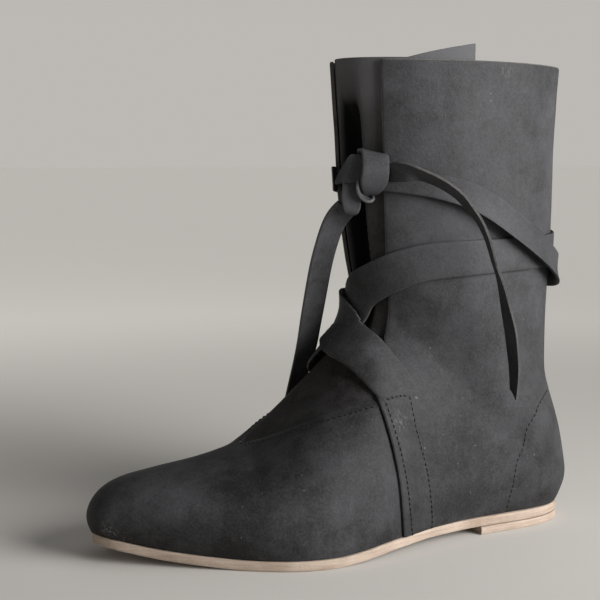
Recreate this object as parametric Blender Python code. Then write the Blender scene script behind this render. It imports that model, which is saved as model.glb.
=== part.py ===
"""Ankle-tied leather boot for the left foot.

Lengths in the tables are millimetres on the last: x runs from the heel of the sole to the toe,
y from medial to lateral, z up from the floor. The root empty carries them into metres.
"""
import bmesh
import bpy
import numpy as np
from mathutils import Matrix, Vector

MM = 0.001

# Driving dimensions
SOLE_LENGTH = 280.0
SOLE_THICK = 5.4
LIFT_THICK = 4.6
HEEL_BREAST = 66.0
INSOLE_THICK = 2.4
WALL = 2.0
QUARTER_STEP = 1.6
TONGUE_THICK = 1.7
STRAP_THICK = 1.8
GAP = 0.3
STRAP_GAP = 0.55
CROSSING_GAP = 1.1
TONGUE_GAP = 0.9

# Point of the last that lies over the part's origin
ORIGIN_X = 138.58
ORIGIN_Y = 3.83

# Sole outline from heel to toe
OUTLINE_COLUMNS = ("x", "lateral", "medial")
OUTLINE = (
    (0.0, 0.0, 0.0),
    (4.0, 15.0, -15.0),
    (14.0, 25.0, -25.0),
    (35.0, 31.0, -31.0),
    (66.0, 33.5, -30.0),
    (100.0, 40.0, -26.0),
    (130.0, 49.0, -29.0),
    (160.0, 54.6, -36.0),
    (188.0, 51.8, -43.0),
    (215.0, 38.0, -45.0),
    (240.0, 23.5, -41.0),
    (262.0, 10.0, -31.5),
    (274.0, 1.2, -21.5),
    (280.0, -10.0, -10.0),
)

# Underside of the outsole: heel seat, arch, flat tread under the ball, toe spring
UNDERSIDE_COLUMNS = ("x", "height")
UNDERSIDE = (
    (-10.0, LIFT_THICK + GAP),
    (66.0, LIFT_THICK + GAP),
    (100.0, 4.9),
    (130.0, 3.4),
    (152.0, 1.0),
    (168.0, 0.0),
    (205.0, 0.0),
    (240.0, 2.6),
    (280.0, 9.5),
)

# Sections of the last from toe to rim. They fan from upright at the toe to level at the shaft.
# base: on the sole, then up the back; crest: along the ridge, then up the front;
# belly: share of the way from base to crest where the section is widest; closed: 1 round the leg.
SECTION_COLUMNS = ("base_x", "rise", "crest_x", "crest_z", "lateral", "medial", "crest_y", "belly", "closed")
SECTIONS = (
    (279.4, 0.0, 280.6, 15.2, -7.5, -12.5, -10.0, 0.50, 0.0),
    (278.0, 0.0, 282.6, 22.3, -1.0, -19.0, -10.0, 0.50, 0.0),
    (273.5, 0.0, 280.2, 30.6, 4.5, -24.5, -10.0, 0.50, 0.0),
    (266.0, 0.0, 273.5, 37.6, 10.0, -31.0, -10.0, 0.48, 0.0),
    (254.0, 0.0, 261.5, 42.6, 18.0, -38.5, -10.0, 0.46, 0.0),
    (234.0, 0.0, 240.5, 45.8, 30.0, -45.0, -10.0, 0.43, 0.0),
    (208.0, 0.0, 213.0, 50.8, 44.5, -47.5, -10.0, 0.40, 0.0),
    (180.0, 0.0, 190.5, 61.0, 53.5, -43.5, -10.0, 0.36, 0.0),
    (150.0, 0.0, 161.5, 87.5, 53.5, -36.5, -9.0, 0.30, 0.0),
    (121.0, 0.0, 137.0, 112.0, 48.5, -33.0, -7.5, 0.28, 0.0),
    (86.0, 0.0, 132.6, 121.0, 41.5, -33.0, -6.0, 0.31, 0.0),
    (50.0, 0.0, 131.4, 127.5, 37.5, -34.5, -4.5, 0.36, 0.05),
    (20.0, 0.0, 131.2, 133.5, 36.5, -35.0, -3.5, 0.40, 0.3),
    (1.0, 0.0, 131.4, 138.5, 36.0, -35.5, -3.0, 0.43, 0.8),
    (-6.5, 13.0, 131.9, 143.5, 36.2, -35.8, -2.5, 0.45, 1.0),
    (-1.0, 42.0, 132.8, 149.5, 36.8, -36.5, -2.0, 0.46, 1.0),
    (7.4, 75.0, 134.2, 157.5, 37.5, -37.0, -1.5, 0.48, 1.0),
    (9.2, 110.0, 136.2, 169.5, 38.5, -38.0, -1.0, 0.49, 1.0),
    (7.0, 155.0, 138.8, 189.0, 39.5, -39.0, -0.5, 0.49, 1.0),
    (5.8, 205.0, 141.3, 221.0, 40.5, -40.0, 0.0, 0.49, 1.0),
    (3.3, 254.0, 144.5, 266.0, 41.5, -41.0, 0.0, 0.49, 1.0),
    (2.8, 274.0, 145.5, 286.0, 41.5, -41.0, 0.0, 0.49, 1.0),
)

# Heel cup, by even steps up from the sole: how far the upper stands out over the sole's outline
HEEL_CUP_COLUMNS = ("back", "sides")
HEEL_CUP = (
    (0.0, -1.0),
    (5.4, 2.4),
    (4.2, 3.6),
    (1.2, 4.2),
    (-2.6, 4.7),
    (-6.0, 4.9),
    (-8.0, 5.0),
)
HEEL_CUP_STEP = 13.4
# Upright axis of the cup, and where the cup gives way to the sections, ahead of it and above it
HEEL_AXIS = 34.0
HEEL_CUP_AHEAD = (18.0, 58.0)
HEEL_CUP_ABOVE = (50.0, 85.0)
HEEL_BACK = 13.09
RIM = 20.0
QUARTER_EDGE = 8.93
QUARTER_EDGE_HALF = 0.01
QUARTER_FADE = 1.6
FEATHER_INSET = 1.0
# The inner face starts further back than the outer one at the toe, and soon follows it
TOE_WALL_SETBACK = 0.9
TOE_WALL_FADE = 0.7
# The feather inset fades where the sole is narrower than this
NARROW_SOLE = 20.0
# Insole: room to the wall at the sides, and further in at heel and toe
INSOLE_SIDE_ROOM = 3.2
INSOLE_HEEL_ROOM = 1.5
INSOLE_TOE_ROOM = 4.5

# Edge of the throat on each side of the crest: vamp seam first, then the shaft's front edges
THROAT_COLUMNS = ("station", "lateral", "medial")
THROAT = (
    (6.75, 0.0, 0.0),
    (7.1, 0.065, 0.065),
    (7.62, 0.147, 0.147),
    (8.38, 0.235, 0.235),
    (8.9, 0.272, 0.272),
    (10.2, 0.225, 0.190),
    (11.2, 0.190, 0.135),
    (13.0, 0.184, 0.090),
    (17.85, 0.208, 0.080),
    (20.0, 0.213, 0.060),
)

# Tongue from under the vamp to its top: reach past the crest on each side
TONGUE_COLUMNS = ("station", "lateral", "medial")
TONGUE = (
    (6.2, 0.03, 0.03),
    (7.1, 0.12, 0.12),
    (8.0, 0.235, 0.235),
    (9.0, 0.300, 0.300),
    (11.0, 0.255, 0.205),
    (13.5, 0.250, 0.160),
    (17.0, 0.300, 0.150),
    (20.0, 0.475, 0.130),
)
TONGUE_TOP_FRONT = 19.92
TONGUE_TOP_CORNER = 20.32
TONGUE_SLANT = 0.70
# Upright fold where the tongue is pressed in between the shaft's front edges
FOLD_SIDE = 0.045
FOLD_HALF_WIDTH = 0.085
FOLD_COLUMNS = ("station", "depth")
FOLD = (
    (9.5, 0.0),
    (12.5, 4.0),
    (15.0, 8.0),
    (18.5, 12.0),
    (19.1, 9.0),
    (19.6, 1.0),
    (19.9, 0.0),
)

# Straps on the last's own stations; side passes -1 or 1 at the back and goes on to the other side.
# lift: 1 where the strap rides over the other one
STRAP_COLUMNS = ("station", "side", "width", "lift")
STRAP_LATERAL = (
    (9.72, 0.300, 24.5, 0.0),
    (9.32, 0.195, 25.0, 0.6),
    (9.20, 0.085, 28.0, 1.0),
    (9.95, -0.035, 28.0, 1.0),
    (12.4, -0.155, 23.5, 1.0),
    (14.9, -0.280, 21.5, 0.9),
    (16.4, -0.430, 20.5, 0.6),
    (17.2, -0.610, 19.5, 0.8),
    (17.55, -0.820, 18.5, 1.0),
    (17.60, -1.03, 18.0, 1.0),
    (17.72, -1.225, 15.0, 1.0),
    (18.04, -1.40, 14.6, 1.0),
    (18.35, -1.525, 14.1, 0.9),
    (18.49, -1.65, 13.1, 0.4),
    (18.51, -1.76, 12.1, 0.1),
    (18.51, -1.85, 11.3, 0.0),
)
STRAP_MEDIAL = (
    (9.72, -0.300, 24.5, 0.0),
    (9.32, -0.195, 25.0, 0.0),
    (9.25, -0.085, 28.0, 0.0),
    (10.6, 0.005, 27.0, 0.0),
    (13.9, 0.083, 22.5, 0.0),
    (16.35, 0.238, 20.8, 0.0),
    (17.22, 0.393, 20.0, 0.0),
    (17.57, 0.545, 18.8, 0.0),
    (17.80, 0.730, 18.2, 0.0),
    (17.94, 0.96, 17.5, 0.0),
    (18.05, 1.18, 17.0, 0.0),
    (18.25, 1.39, 16.5, 0.0),
    (18.42, 1.60, 16.0, 0.0),
    (18.47, 1.76, 15.0, 0.0),
    (18.48, 1.88, 14.0, 0.0),
    (18.48, 1.98, 13.5, 0.0),
)

# Knot beside the throat: place on the last, height of its middle over it, and size
KNOT_STATION = 18.5
KNOT_SIDE = 0.16
KNOT_HEIGHT = 9.3
KNOT_WIDE = 28.0
KNOT_TALL = 33.0
KNOT_DEEP = 13.0

# The two hanging ends of the straps. face: degrees from the toe's direction towards lateral
# that the flat of the strap looks in; tilt: degrees that it looks up
TAIL_COLUMNS = ("x", "y", "z", "width", "face", "tilt")
TAIL_LATERAL = (
    (126.7, 31.1, 205.3, 10.1, 46.0, -14.0),
    (123.1, 41.3, 206.2, 12.0, 37.0, -32.0),
    (118.9, 46.3, 205.9, 13.0, 29.0, -50.0),
    (114.3, 49.3, 204.5, 13.0, 21.0, -57.0),
    (106.4, 53.1, 200.7, 13.0, 11.0, -56.0),
    (98.1, 56.3, 194.8, 13.0, 0.0, -50.0),
    (92.4, 57.8, 188.8, 13.0, -9.0, -41.0),
    (85.6, 59.0, 179.9, 13.0, -17.0, -31.0),
    (79.7, 59.2, 168.0, 13.0, -22.0, -23.0),
    (75.5, 58.8, 156.6, 13.0, -23.0, -19.0),
    (71.3, 58.5, 146.2, 13.0, -19.0, -17.0),
    (67.0, 57.4, 131.9, 13.0, -10.0, -15.0),
    (63.9, 56.8, 120.7, 13.0, -5.0, -13.0),
    (61.7, 56.1, 109.5, 12.6, -5.0, -10.0),
    (60.0, 55.3, 98.3, 12.0, -7.0, -5.0),
    (59.4, 54.3, 84.6, 9.4, -10.0, -2.0),
)
TAIL_MEDIAL = (
    (145.9, 20.8, 187.2, 12.0, 80.0, 0.0),
    (148.6, 12.0, 179.6, 13.5, 90.0, 0.0),
    (149.8, 4.0, 168.0, 14.5, 97.0, 0.0),
    (150.3, -3.5, 154.0, 14.5, 97.0, 0.0),
    (150.1, -12.0, 135.4, 14.5, 97.0, 0.0),
    (150.0, -19.5, 117.5, 14.0, 97.0, 0.0),
    (150.2, -27.0, 100.0, 13.0, 97.0, 0.0),
    (153.5, -37.0, 74.5, 9.0, 97.0, 0.0),
)

# Evenness of the meshes: points of the heel cup and the outline, rows of the upper (closer at the toe),
# columns of each of its halves, rows and columns of the tongue, rings and segments of the knot, rings along
# the sole's layers, straps and hanging ends, shares of a strap's width and steps across it, shares of the
# sole's half width, the small flat that ends a ring of the sole, and the reach of a tangent in stations
HEEL_CUP_POINTS = 60
OUTLINE_POINTS = 1500
TOE_ROWS = 9
TOE_CROWDING = 1.3
TOE_END = 4.0
UPPER_STRETCH_COLUMNS = ("from_station", "to_station", "rows")
UPPER_STRETCHES = (
    (TOE_END, 6.75, 6),
    (6.75, QUARTER_EDGE - QUARTER_EDGE_HALF, 8),
    (QUARTER_EDGE + QUARTER_EDGE_HALF, 13.0, 10),
    (13.0, 16.0, 8),
    (16.0, RIM, 9),
)
UPPER_COLUMNS = 16
TONGUE_ROWS = 27
TONGUE_COLUMN_COUNT = 16
KNOT_SEGMENTS = 14
KNOT_RINGS = 9
OUTSOLE_RINGS = 40
LIFT_RINGS = 14
INSOLE_RINGS = 30
STRAP_RINGS = 52
STRAP_STEPS = 4
STRAP_SHARES = (-0.5, -0.25, 0.0, 0.25, 0.5)
TAIL_RINGS = 31
SOLE_SHARES = (1.0, 0.5, 0.0, -0.5, -1.0)
SOLE_TIP = 0.03
SOLE_TIP_HALF_WIDTH = 0.3
TANGENT_REACH = 0.004
WELD_DISTANCE = 0.00002
SHARP_ANGLE = 0.7

# Finishes: colour, then roughness
BLACK_LEATHER = ((0.030, 0.031, 0.034), 0.62)
TONGUE_LEATHER = ((0.036, 0.034, 0.034), 0.66)
SOLE_LEATHER = ((0.70, 0.56, 0.45), 0.75)
INSOLE_LEATHER = ((0.45, 0.33, 0.24), 0.80)


def column(table, names, name):
    """One named column of a table."""
    return np.array(table, float)[:, names.index(name)]


def smooth_curve(knots, values, at, flat_ends=False):
    """Cubic curve through the rows, with slopes that don't overshoot."""
    step = np.diff(knots)
    secant = np.diff(values) / step
    total = secant[:-1] + secant[1:]
    same_way = secant[:-1] * secant[1:] > 0
    slope = np.zeros(len(knots))
    slope[1:-1] = np.where(same_way, 2 * secant[:-1] * secant[1:] / np.where(same_way, total, 1), 0)
    if not flat_ends:
        slope[0] = secant[0]
        slope[-1] = secant[-1]
    at = np.clip(np.asarray(at, float), knots[0], knots[-1])
    row = np.clip(np.searchsorted(knots, at, side="right") - 1, 0, len(step) - 1)
    return hermite(values[row], values[row + 1], slope[row] * step[row], slope[row + 1] * step[row],
                   (at - knots[row]) / step[row])


def hermite(start, end, start_slope, end_slope, t):
    """Cubic between two values with given slopes."""
    return (start * (1 + 2 * t) * (1 - t) ** 2 + start_slope * t * (1 - t) ** 2
            + end * t * t * (3 - 2 * t) + end_slope * t * t * (t - 1))


def even_spline(values, at):
    """Curve of steady bend through rows that are one station apart."""
    count = len(values)
    matrix = np.diag(np.full(count, 4.0)) + np.eye(count, k=1) + np.eye(count, k=-1)
    matrix[0, 0] = matrix[-1, -1] = 2
    rises = np.concatenate(([values[1] - values[0]], values[2:] - values[:-2], [values[-1] - values[-2]]))
    slope = np.linalg.solve(matrix, 3 * rises)
    row = np.clip(np.floor(at).astype(int), 0, count - 2)
    return hermite(values[row], values[row + 1], slope[row], slope[row + 1], at - row)


def ease(t):
    """Soft step from 0 to 1."""
    t = np.clip(t, 0, 1)
    return t * t * (3 - 2 * t)


def outline(x):
    """Lateral and medial edge of the sole at x, round at heel and toe."""
    rows = np.arange(len(OUTLINE), dtype=float)
    fine = np.linspace(0, len(OUTLINE) - 1, OUTLINE_POINTS)
    along = smooth_curve(rows, column(OUTLINE, OUTLINE_COLUMNS, "x"), fine, flat_ends=True)
    edges = [even_spline(column(OUTLINE, OUTLINE_COLUMNS, side), fine) for side in ("lateral", "medial")]
    return [np.interp(x, along, edge) for edge in edges]


def sole_under(x):
    """Height of the outsole's underside."""
    knots = column(UNDERSIDE, UNDERSIDE_COLUMNS, "x")
    return smooth_curve(knots, column(UNDERSIDE, UNDERSIDE_COLUMNS, "height"), x)


def feather_height(x):
    """Lower edge of the upper, just over the sole."""
    return sole_under(x) + SOLE_THICK + GAP


def heel_cup(point):
    """Rounds the heel: near it, points move out to a cup that follows the sole's outline."""
    x, y, z = np.moveaxis(point, -1, 0)
    turn = np.linspace(0, np.pi / 2, HEEL_CUP_POINTS)
    rim_x = HEEL_AXIS * (1 - np.cos(turn))
    rim_y = outline(rim_x)[0]
    angle = np.arctan2(np.abs(y), HEEL_AXIS - x)
    sole = np.interp(angle, np.arctan2(rim_y, HEEL_AXIS - rim_x), np.hypot(rim_y, HEEL_AXIS - rim_x))
    level = np.clip((z - feather_height(0.0)) / HEEL_CUP_STEP, 0, len(HEEL_CUP) - 1)
    back, sides = [even_spline(column(HEEL_CUP, HEEL_CUP_COLUMNS, name), level) for name in HEEL_CUP_COLUMNS]
    radius = sole + back * np.cos(angle) ** 2 + sides * np.sin(angle) ** 2
    cup = np.stack([HEEL_AXIS - radius * np.cos(angle), np.sign(y) * radius * np.sin(angle), z], -1)
    near, far = HEEL_CUP_AHEAD
    low, high = HEEL_CUP_ABOVE
    share = ease((far - x) / (far - near)) * ease((high - z) / (high - low))
    return point + (cup - point) * share[..., None]


def last_point(station, side):
    """Outer face of the upper. Side runs from 1 (lateral) over 0 (crest) to -1 (medial)."""
    station, side = np.broadcast_arrays(np.asarray(station, float), np.asarray(side, float))
    side = np.where(np.abs(side) > 1, (side + 1) % 2 - 1, side)
    at = {name: even_spline(column(SECTIONS, SECTION_COLUMNS, name), station) for name in SECTION_COLUMNS}
    lateral, medial = outline(np.clip(at["base_x"], 0, SOLE_LENGTH))
    inset = FEATHER_INSET * ease((lateral - medial) / NARROW_SOLE)
    foot = np.where(side >= 0, lateral - inset, medial + inset) * (station < HEEL_BACK)
    widest = np.where(side >= 0, at["lateral"], at["medial"])
    base_z = feather_height(at["base_x"]) + np.maximum(at["rise"], 0)
    closed = np.clip(at["closed"], 0, 1)
    belly = at["belly"]
    around = np.abs(side) * 2
    turn = np.clip(around, 0, 1) * np.pi / 2
    drop = np.sin(np.clip(around - 1, 0, 1) * np.pi / 2)
    tuck = (1 - closed) * drop ** 2 + closed * (1 - np.sqrt(np.clip(1 - drop ** 2, 0, 1)))
    over = around <= 1
    over_y = at["crest_y"] + (widest - at["crest_y"]) * np.sin(turn)
    y = np.where(over, over_y, widest + (foot - widest) * tuck)
    way = np.where(over, belly + (1 - belly) * np.cos(turn), belly * (1 - drop))
    x = at["base_x"] + (at["crest_x"] - at["base_x"]) * way
    z = base_z + (at["crest_z"] - base_z) * way
    return heel_cup(np.stack([x, y, z], -1))


def last_frame(station, side):
    """Point of the last with its two tangents and outward normal."""
    low = np.maximum(station - TANGENT_REACH, 0)
    high = station + TANGENT_REACH
    along = (last_point(high, side) - last_point(low, side)) / (high - low)[..., None]
    limit = np.where(station < HEEL_BACK, 1.0, np.inf)
    right = np.clip(side - TANGENT_REACH, -limit, limit)
    left = np.clip(side + TANGENT_REACH, -limit, limit)
    across = (last_point(station, left) - last_point(station, right)) / (left - right)[..., None]
    normal = np.cross(across, along)
    normal /= np.linalg.norm(normal, axis=-1, keepdims=True)
    return last_point(station, side), along, across, normal


def quarter_raise(station):
    """How far the quarter stands over the vamp that it overlaps."""
    step = QUARTER_STEP * (1 - ease((station - QUARTER_EDGE) / QUARTER_FADE))
    return np.where(station > QUARTER_EDGE, step, 0)


def offset_point(station, side, height):
    """Point at a height over the last."""
    point, _, _, normal = last_frame(station, side)
    return point + normal * np.asarray(height)[..., None]


def mesh_object(name, vertices, faces, material, collection, root):
    """One named solid with welded corners and outward faces."""
    mesh = bpy.data.meshes.new(name)
    build = bmesh.new()
    corners = [build.verts.new(Vector(vertex) * MM) for vertex in vertices]
    for face in faces:
        build.faces.new([corners[index] for index in face])
    bmesh.ops.remove_doubles(build, verts=build.verts, dist=WELD_DISTANCE)
    bmesh.ops.triangulate(build, faces=build.faces)
    bmesh.ops.recalc_face_normals(build, faces=build.faces)
    build.to_mesh(mesh)
    build.free()
    mesh.shade_smooth()
    mesh.set_sharp_from_angle(angle=SHARP_ANGLE)
    mesh.materials.append(material)
    piece = bpy.data.objects.new(name, mesh)
    piece.parent = root
    collection.objects.link(piece)
    return piece


def shell(outer, inner):
    """Closed wall between two grids of points of the same size."""
    rows, columns = outer.shape[:2]
    vertices = np.concatenate([outer.reshape(-1, 3), inner.reshape(-1, 3)])
    size = rows * columns
    faces = []
    for i in range(rows - 1):
        for j in range(columns - 1):
            a = i * columns + j
            quad = (a, a + 1, a + columns + 1, a + columns)
            faces.append(quad)
            faces.append(tuple(size + index for index in reversed(quad)))
    border = [j for j in range(columns)]
    border += [i * columns + columns - 1 for i in range(1, rows)]
    border += [(rows - 1) * columns + j for j in range(columns - 2, -1, -1)]
    border += [i * columns for i in range(rows - 2, 0, -1)]
    for a, b in zip(border, border[1:] + border[:1]):
        faces.append((b, a, size + a, size + b))
    return vertices, faces


def ribbon(sections):
    """Closed band through rings of points, each ring in the same order."""
    rings, corners = sections.shape[:2]
    faces = [tuple(range(corners)), tuple((rings - 1) * corners + k for k in reversed(range(corners)))]
    for i in range(rings - 1):
        for k in range(corners):
            a = i * corners + k
            b = i * corners + (k + 1) % corners
            faces.append((a, a + corners, b + corners, b))
    return sections.reshape(-1, 3), faces


def make_material(name, finish):
    """Plain dielectric finish."""
    colour, roughness = finish
    material = bpy.data.materials.new(name)
    material.use_nodes = True
    shader = material.node_tree.nodes["Principled BSDF"]
    shader.inputs["Base Color"].default_value = (*colour, 1.0)
    shader.inputs["Roughness"].default_value = roughness
    shader.inputs["Metallic"].default_value = 0.0
    material.diffuse_color = (*colour, 1.0)
    return material


def slab_sections(start, end, stations, inset, under, over):
    """Rings across the sole between two heights, close together where the outline turns."""
    spread = (1 - np.cos(np.linspace(0, np.pi, stations))) / 2
    x = start + (end - start) * spread
    return slab_rings(x, inset, under, over)


def slab_rings(x, inset, under, over):
    """Rings of ten points round the sole's cross-section at each x."""
    lateral, medial = outline(np.clip(x, 0, SOLE_LENGTH))
    middle = (lateral + medial) / 2
    half = np.maximum((lateral - medial) / 2 - inset, SOLE_TIP_HALF_WIDTH)
    y = middle[:, None] + half[:, None] * np.array(SOLE_SHARES)
    wide = np.repeat(x[:, None], len(SOLE_SHARES), axis=1)
    top = np.stack([wide, y, over(wide)], -1)
    bottom = np.stack([wide, y, under(wide)], -1)
    return np.concatenate([top, bottom[:, ::-1]], axis=1)


def make_outsole():
    """Leather outsole with heel seat, arch, flat tread and toe spring."""
    return ribbon(slab_sections(SOLE_TIP, SOLE_LENGTH - SOLE_TIP, OUTSOLE_RINGS, 0.0, sole_under,
                                lambda x: sole_under(x) + SOLE_THICK))


def make_heel_lift():
    """Single flat lift under the heel, cut straight across at the breast."""
    turn = np.linspace(0, np.pi / 2, LIFT_RINGS)
    x = SOLE_TIP + (HEEL_BREAST - SOLE_TIP) * (1 - np.cos(turn))
    return ribbon(slab_rings(x, 0.0, np.zeros_like, lambda x: np.full_like(x, LIFT_THICK)))


def make_insole():
    """Thin insole inside the feather edge."""
    edge = FEATHER_INSET + WALL + INSOLE_SIDE_ROOM
    heel = edge + INSOLE_HEEL_ROOM
    toe = SOLE_LENGTH - edge - INSOLE_TOE_ROOM
    return ribbon(slab_sections(heel, toe, INSOLE_RINGS, edge, feather_height,
                                lambda x: feather_height(x) + INSOLE_THICK))


def upper_stations():
    """Sections of the upper's mesh, close at the toe and on both sides of the quarter's edge."""
    rows = [np.linspace(0, 1, TOE_ROWS) ** TOE_CROWDING * TOE_END]
    for stretch in UPPER_STRETCHES:
        rows.append(np.linspace(*stretch))
    return np.unique(np.concatenate(rows))


def throat_edge(station, side):
    """Side coordinate of the throat's edge."""
    knots = column(THROAT, THROAT_COLUMNS, "station")
    return smooth_curve(knots, column(THROAT, THROAT_COLUMNS, side), station)


def upper_half(side, sign):
    """Outer and inner face of one half of the upper, from the sole or back seam to the throat."""
    stations = upper_stations()
    edge = throat_edge(stations, side)
    share = np.linspace(0, 1, UPPER_COLUMNS)
    station = np.repeat(stations[:, None], UPPER_COLUMNS, axis=1)
    across = sign * (1 + (edge[:, None] - 1) * share)
    outer = offset_point(station, across, quarter_raise(station))
    inside_station = station + TOE_WALL_SETBACK * np.exp(-station / TOE_WALL_FADE)
    inner = offset_point(inside_station, across, np.full_like(station, -WALL))
    for face in (outer, inner):
        on_sole = feather_height(face[..., 0])
        face[..., 2] = np.maximum(face[..., 2], on_sole)
    return outer, inner


def make_upper():
    """Vamp, quarter and shaft as one wall with a raised quarter edge."""
    halves = []
    for side, sign in (("lateral", 1), ("medial", -1)):
        outer, inner = upper_half(side, sign)
        if sign < 0:
            outer = outer[:, ::-1]
            inner = inner[:, ::-1]
        halves.append((outer, inner))
    return halves


def upper_mesh(halves):
    """Joins both halves along the vamp's crest and the back seam, and closes the wall's edges."""
    grids = [np.stack([outer, inner]) for outer, inner in halves]
    rows, columns = grids[0].shape[1:3]
    vertices = np.concatenate([grid.reshape(-1, 3) for grid in grids])
    size = rows * columns
    faces = []

    def corner(half, layer, i, j):
        return (half * 2 + layer) * size + i * columns + j

    stations = upper_stations()
    open_front = throat_edge(stations, "lateral") > 0
    open_under = stations < HEEL_BACK
    for half in range(2):
        for i in range(rows - 1):
            for j in range(columns - 1):
                quad = ((i, j), (i, j + 1), (i + 1, j + 1), (i + 1, j))
                faces.append([corner(half, 0, *place) for place in quad])
                faces.append([corner(half, 1, *place) for place in reversed(quad)])
            front = columns - 1 if half == 0 else 0
            back = 0 if half == 0 else columns - 1
            edges = []
            if open_front[i + 1]:
                edges.append(front)
            if open_under[i]:
                edges.append(back)
            for j in edges:
                faces.append([corner(half, 0, i, j), corner(half, 0, i + 1, j),
                              corner(half, 1, i + 1, j), corner(half, 1, i, j)])
        for i in (0, rows - 1):
            for j in range(columns - 1):
                faces.append([corner(half, 0, i, j), corner(half, 0, i, j + 1),
                              corner(half, 1, i, j + 1), corner(half, 1, i, j)])
    return vertices, faces


def make_tongue():
    """Wide tongue under the vamp and inside the shaft, with its upright fold."""
    rows, columns = TONGUE_ROWS, TONGUE_COLUMN_COUNT
    knots = column(TONGUE, TONGUE_COLUMNS, "station")
    along = np.linspace(0, 1, rows)
    share = np.linspace(0, 1, columns)
    corner_rise = np.clip((share - TONGUE_SLANT) / (1 - TONGUE_SLANT), 0, 1)
    top = TONGUE_TOP_FRONT + (TONGUE_TOP_CORNER - TONGUE_TOP_FRONT) * corner_rise
    station = knots[0] + (top[None, :] - knots[0]) * along[:, None]
    lateral = smooth_curve(knots, column(TONGUE, TONGUE_COLUMNS, "lateral"), station)
    medial = smooth_curve(knots, column(TONGUE, TONGUE_COLUMNS, "medial"), station)
    side = -medial + (lateral + medial) * share[None, :]
    depth = smooth_curve(column(FOLD, FOLD_COLUMNS, "station"), column(FOLD, FOLD_COLUMNS, "depth"), station)
    depth = np.where(station > column(FOLD, FOLD_COLUMNS, "station")[-1], 0, depth)
    fold = depth * (1 - ease(np.abs(side - FOLD_SIDE) / FOLD_HALF_WIDTH))
    outer = offset_point(station, side, -(WALL + TONGUE_GAP + fold))
    inner = offset_point(station, side, -(WALL + TONGUE_GAP + TONGUE_THICK + fold))
    return shell(outer, inner)


def strap_route(table, count):
    """Smooth route of a strap on the last, at even steps of its rows."""
    at = np.linspace(0, len(table) - 1, count)
    return [even_spline(column(table, STRAP_COLUMNS, name), at) for name in STRAP_COLUMNS]


def across_strap(station, side, reach):
    """Places beside a route, found by short steps on the last at right angles to it."""
    heading = np.gradient(last_point(station, side), axis=0)
    station = station.copy()
    side = side.copy()
    for _ in range(STRAP_STEPS):
        _, along, around, normal = last_frame(station, side)
        sideways = np.cross(normal, heading)
        sideways /= np.linalg.norm(sideways, axis=-1, keepdims=True)
        move = sideways * (reach / STRAP_STEPS)[:, None]
        aa = (along * along).sum(-1)
        bb = (around * around).sum(-1)
        ab = (along * around).sum(-1)
        am = (along * move).sum(-1)
        bm = (around * move).sum(-1)
        scale = aa * bb - ab * ab
        station += (am * bb - bm * ab) / scale
        side += (bm * aa - am * ab) / scale
    return station, side


def make_strap(table):
    """Flat strap on the upper's outer face."""
    station, side, width, lift = strap_route(table, STRAP_RINGS)
    lift = np.clip(lift, 0, 1)
    bottom = []
    top = []
    for share in STRAP_SHARES:
        beside_station, beside_side = across_strap(station, side, width * share)
        on_quarter = np.maximum(beside_station, QUARTER_EDGE + QUARTER_EDGE_HALF)
        seat = quarter_raise(on_quarter) + STRAP_GAP + lift * (STRAP_THICK + CROSSING_GAP)
        bottom.append(offset_point(beside_station, beside_side, seat))
        top.append(offset_point(beside_station, beside_side, seat + STRAP_THICK))
    ring = np.stack(bottom + top[::-1], axis=1)
    return ribbon(ring)


def make_tail(table):
    """Hanging end of a strap: a flat band through its route, turning with its face."""
    at = np.linspace(0, len(table) - 1, TAIL_RINGS)
    x, y, z, width, face, tilt = [even_spline(column(table, TAIL_COLUMNS, name), at) for name in TAIL_COLUMNS]
    point = np.stack([x, y, z], -1)
    heading = np.gradient(point, axis=0)
    face = np.radians(face)
    tilt = np.radians(tilt)
    facing = np.stack([np.cos(face) * np.cos(tilt), np.sin(face) * np.cos(tilt), np.sin(tilt)], -1)
    wide = np.cross(heading, facing)
    wide /= np.linalg.norm(wide, axis=-1, keepdims=True)
    thick = np.cross(wide, heading)
    thick /= np.linalg.norm(thick, axis=-1, keepdims=True)
    half_width = (width / 2)[:, None]
    ring = [point + wide * half_width * a + thick * STRAP_THICK / 2 * b
            for a, b in ((1, 1), (-1, 1), (-1, -1), (1, -1))]
    return ribbon(np.stack(ring, axis=1))


def make_knot(name, material, collection, root):
    """Rounded body of the tied knot, lying on the last."""
    place = last_frame(np.array([KNOT_STATION]), np.array([KNOT_SIDE]))
    point, _, across, normal = [Vector(value[0]) for value in place]
    across.normalize()
    axes = Matrix((across, normal.cross(across), normal)).transposed()
    build = bmesh.new()
    bmesh.ops.create_uvsphere(build, u_segments=KNOT_SEGMENTS, v_segments=KNOT_RINGS, radius=0.5)
    bmesh.ops.scale(build, vec=Vector((KNOT_WIDE, KNOT_TALL, KNOT_DEEP)) * MM, verts=build.verts)
    bmesh.ops.rotate(build, matrix=axes, verts=build.verts)
    bmesh.ops.translate(build, vec=(point + normal * KNOT_HEIGHT) * MM, verts=build.verts)
    mesh = bpy.data.meshes.new(name)
    build.to_mesh(mesh)
    build.free()
    mesh.shade_smooth()
    mesh.materials.append(material)
    piece = bpy.data.objects.new(name, mesh)
    piece.parent = root
    collection.objects.link(piece)


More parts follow.
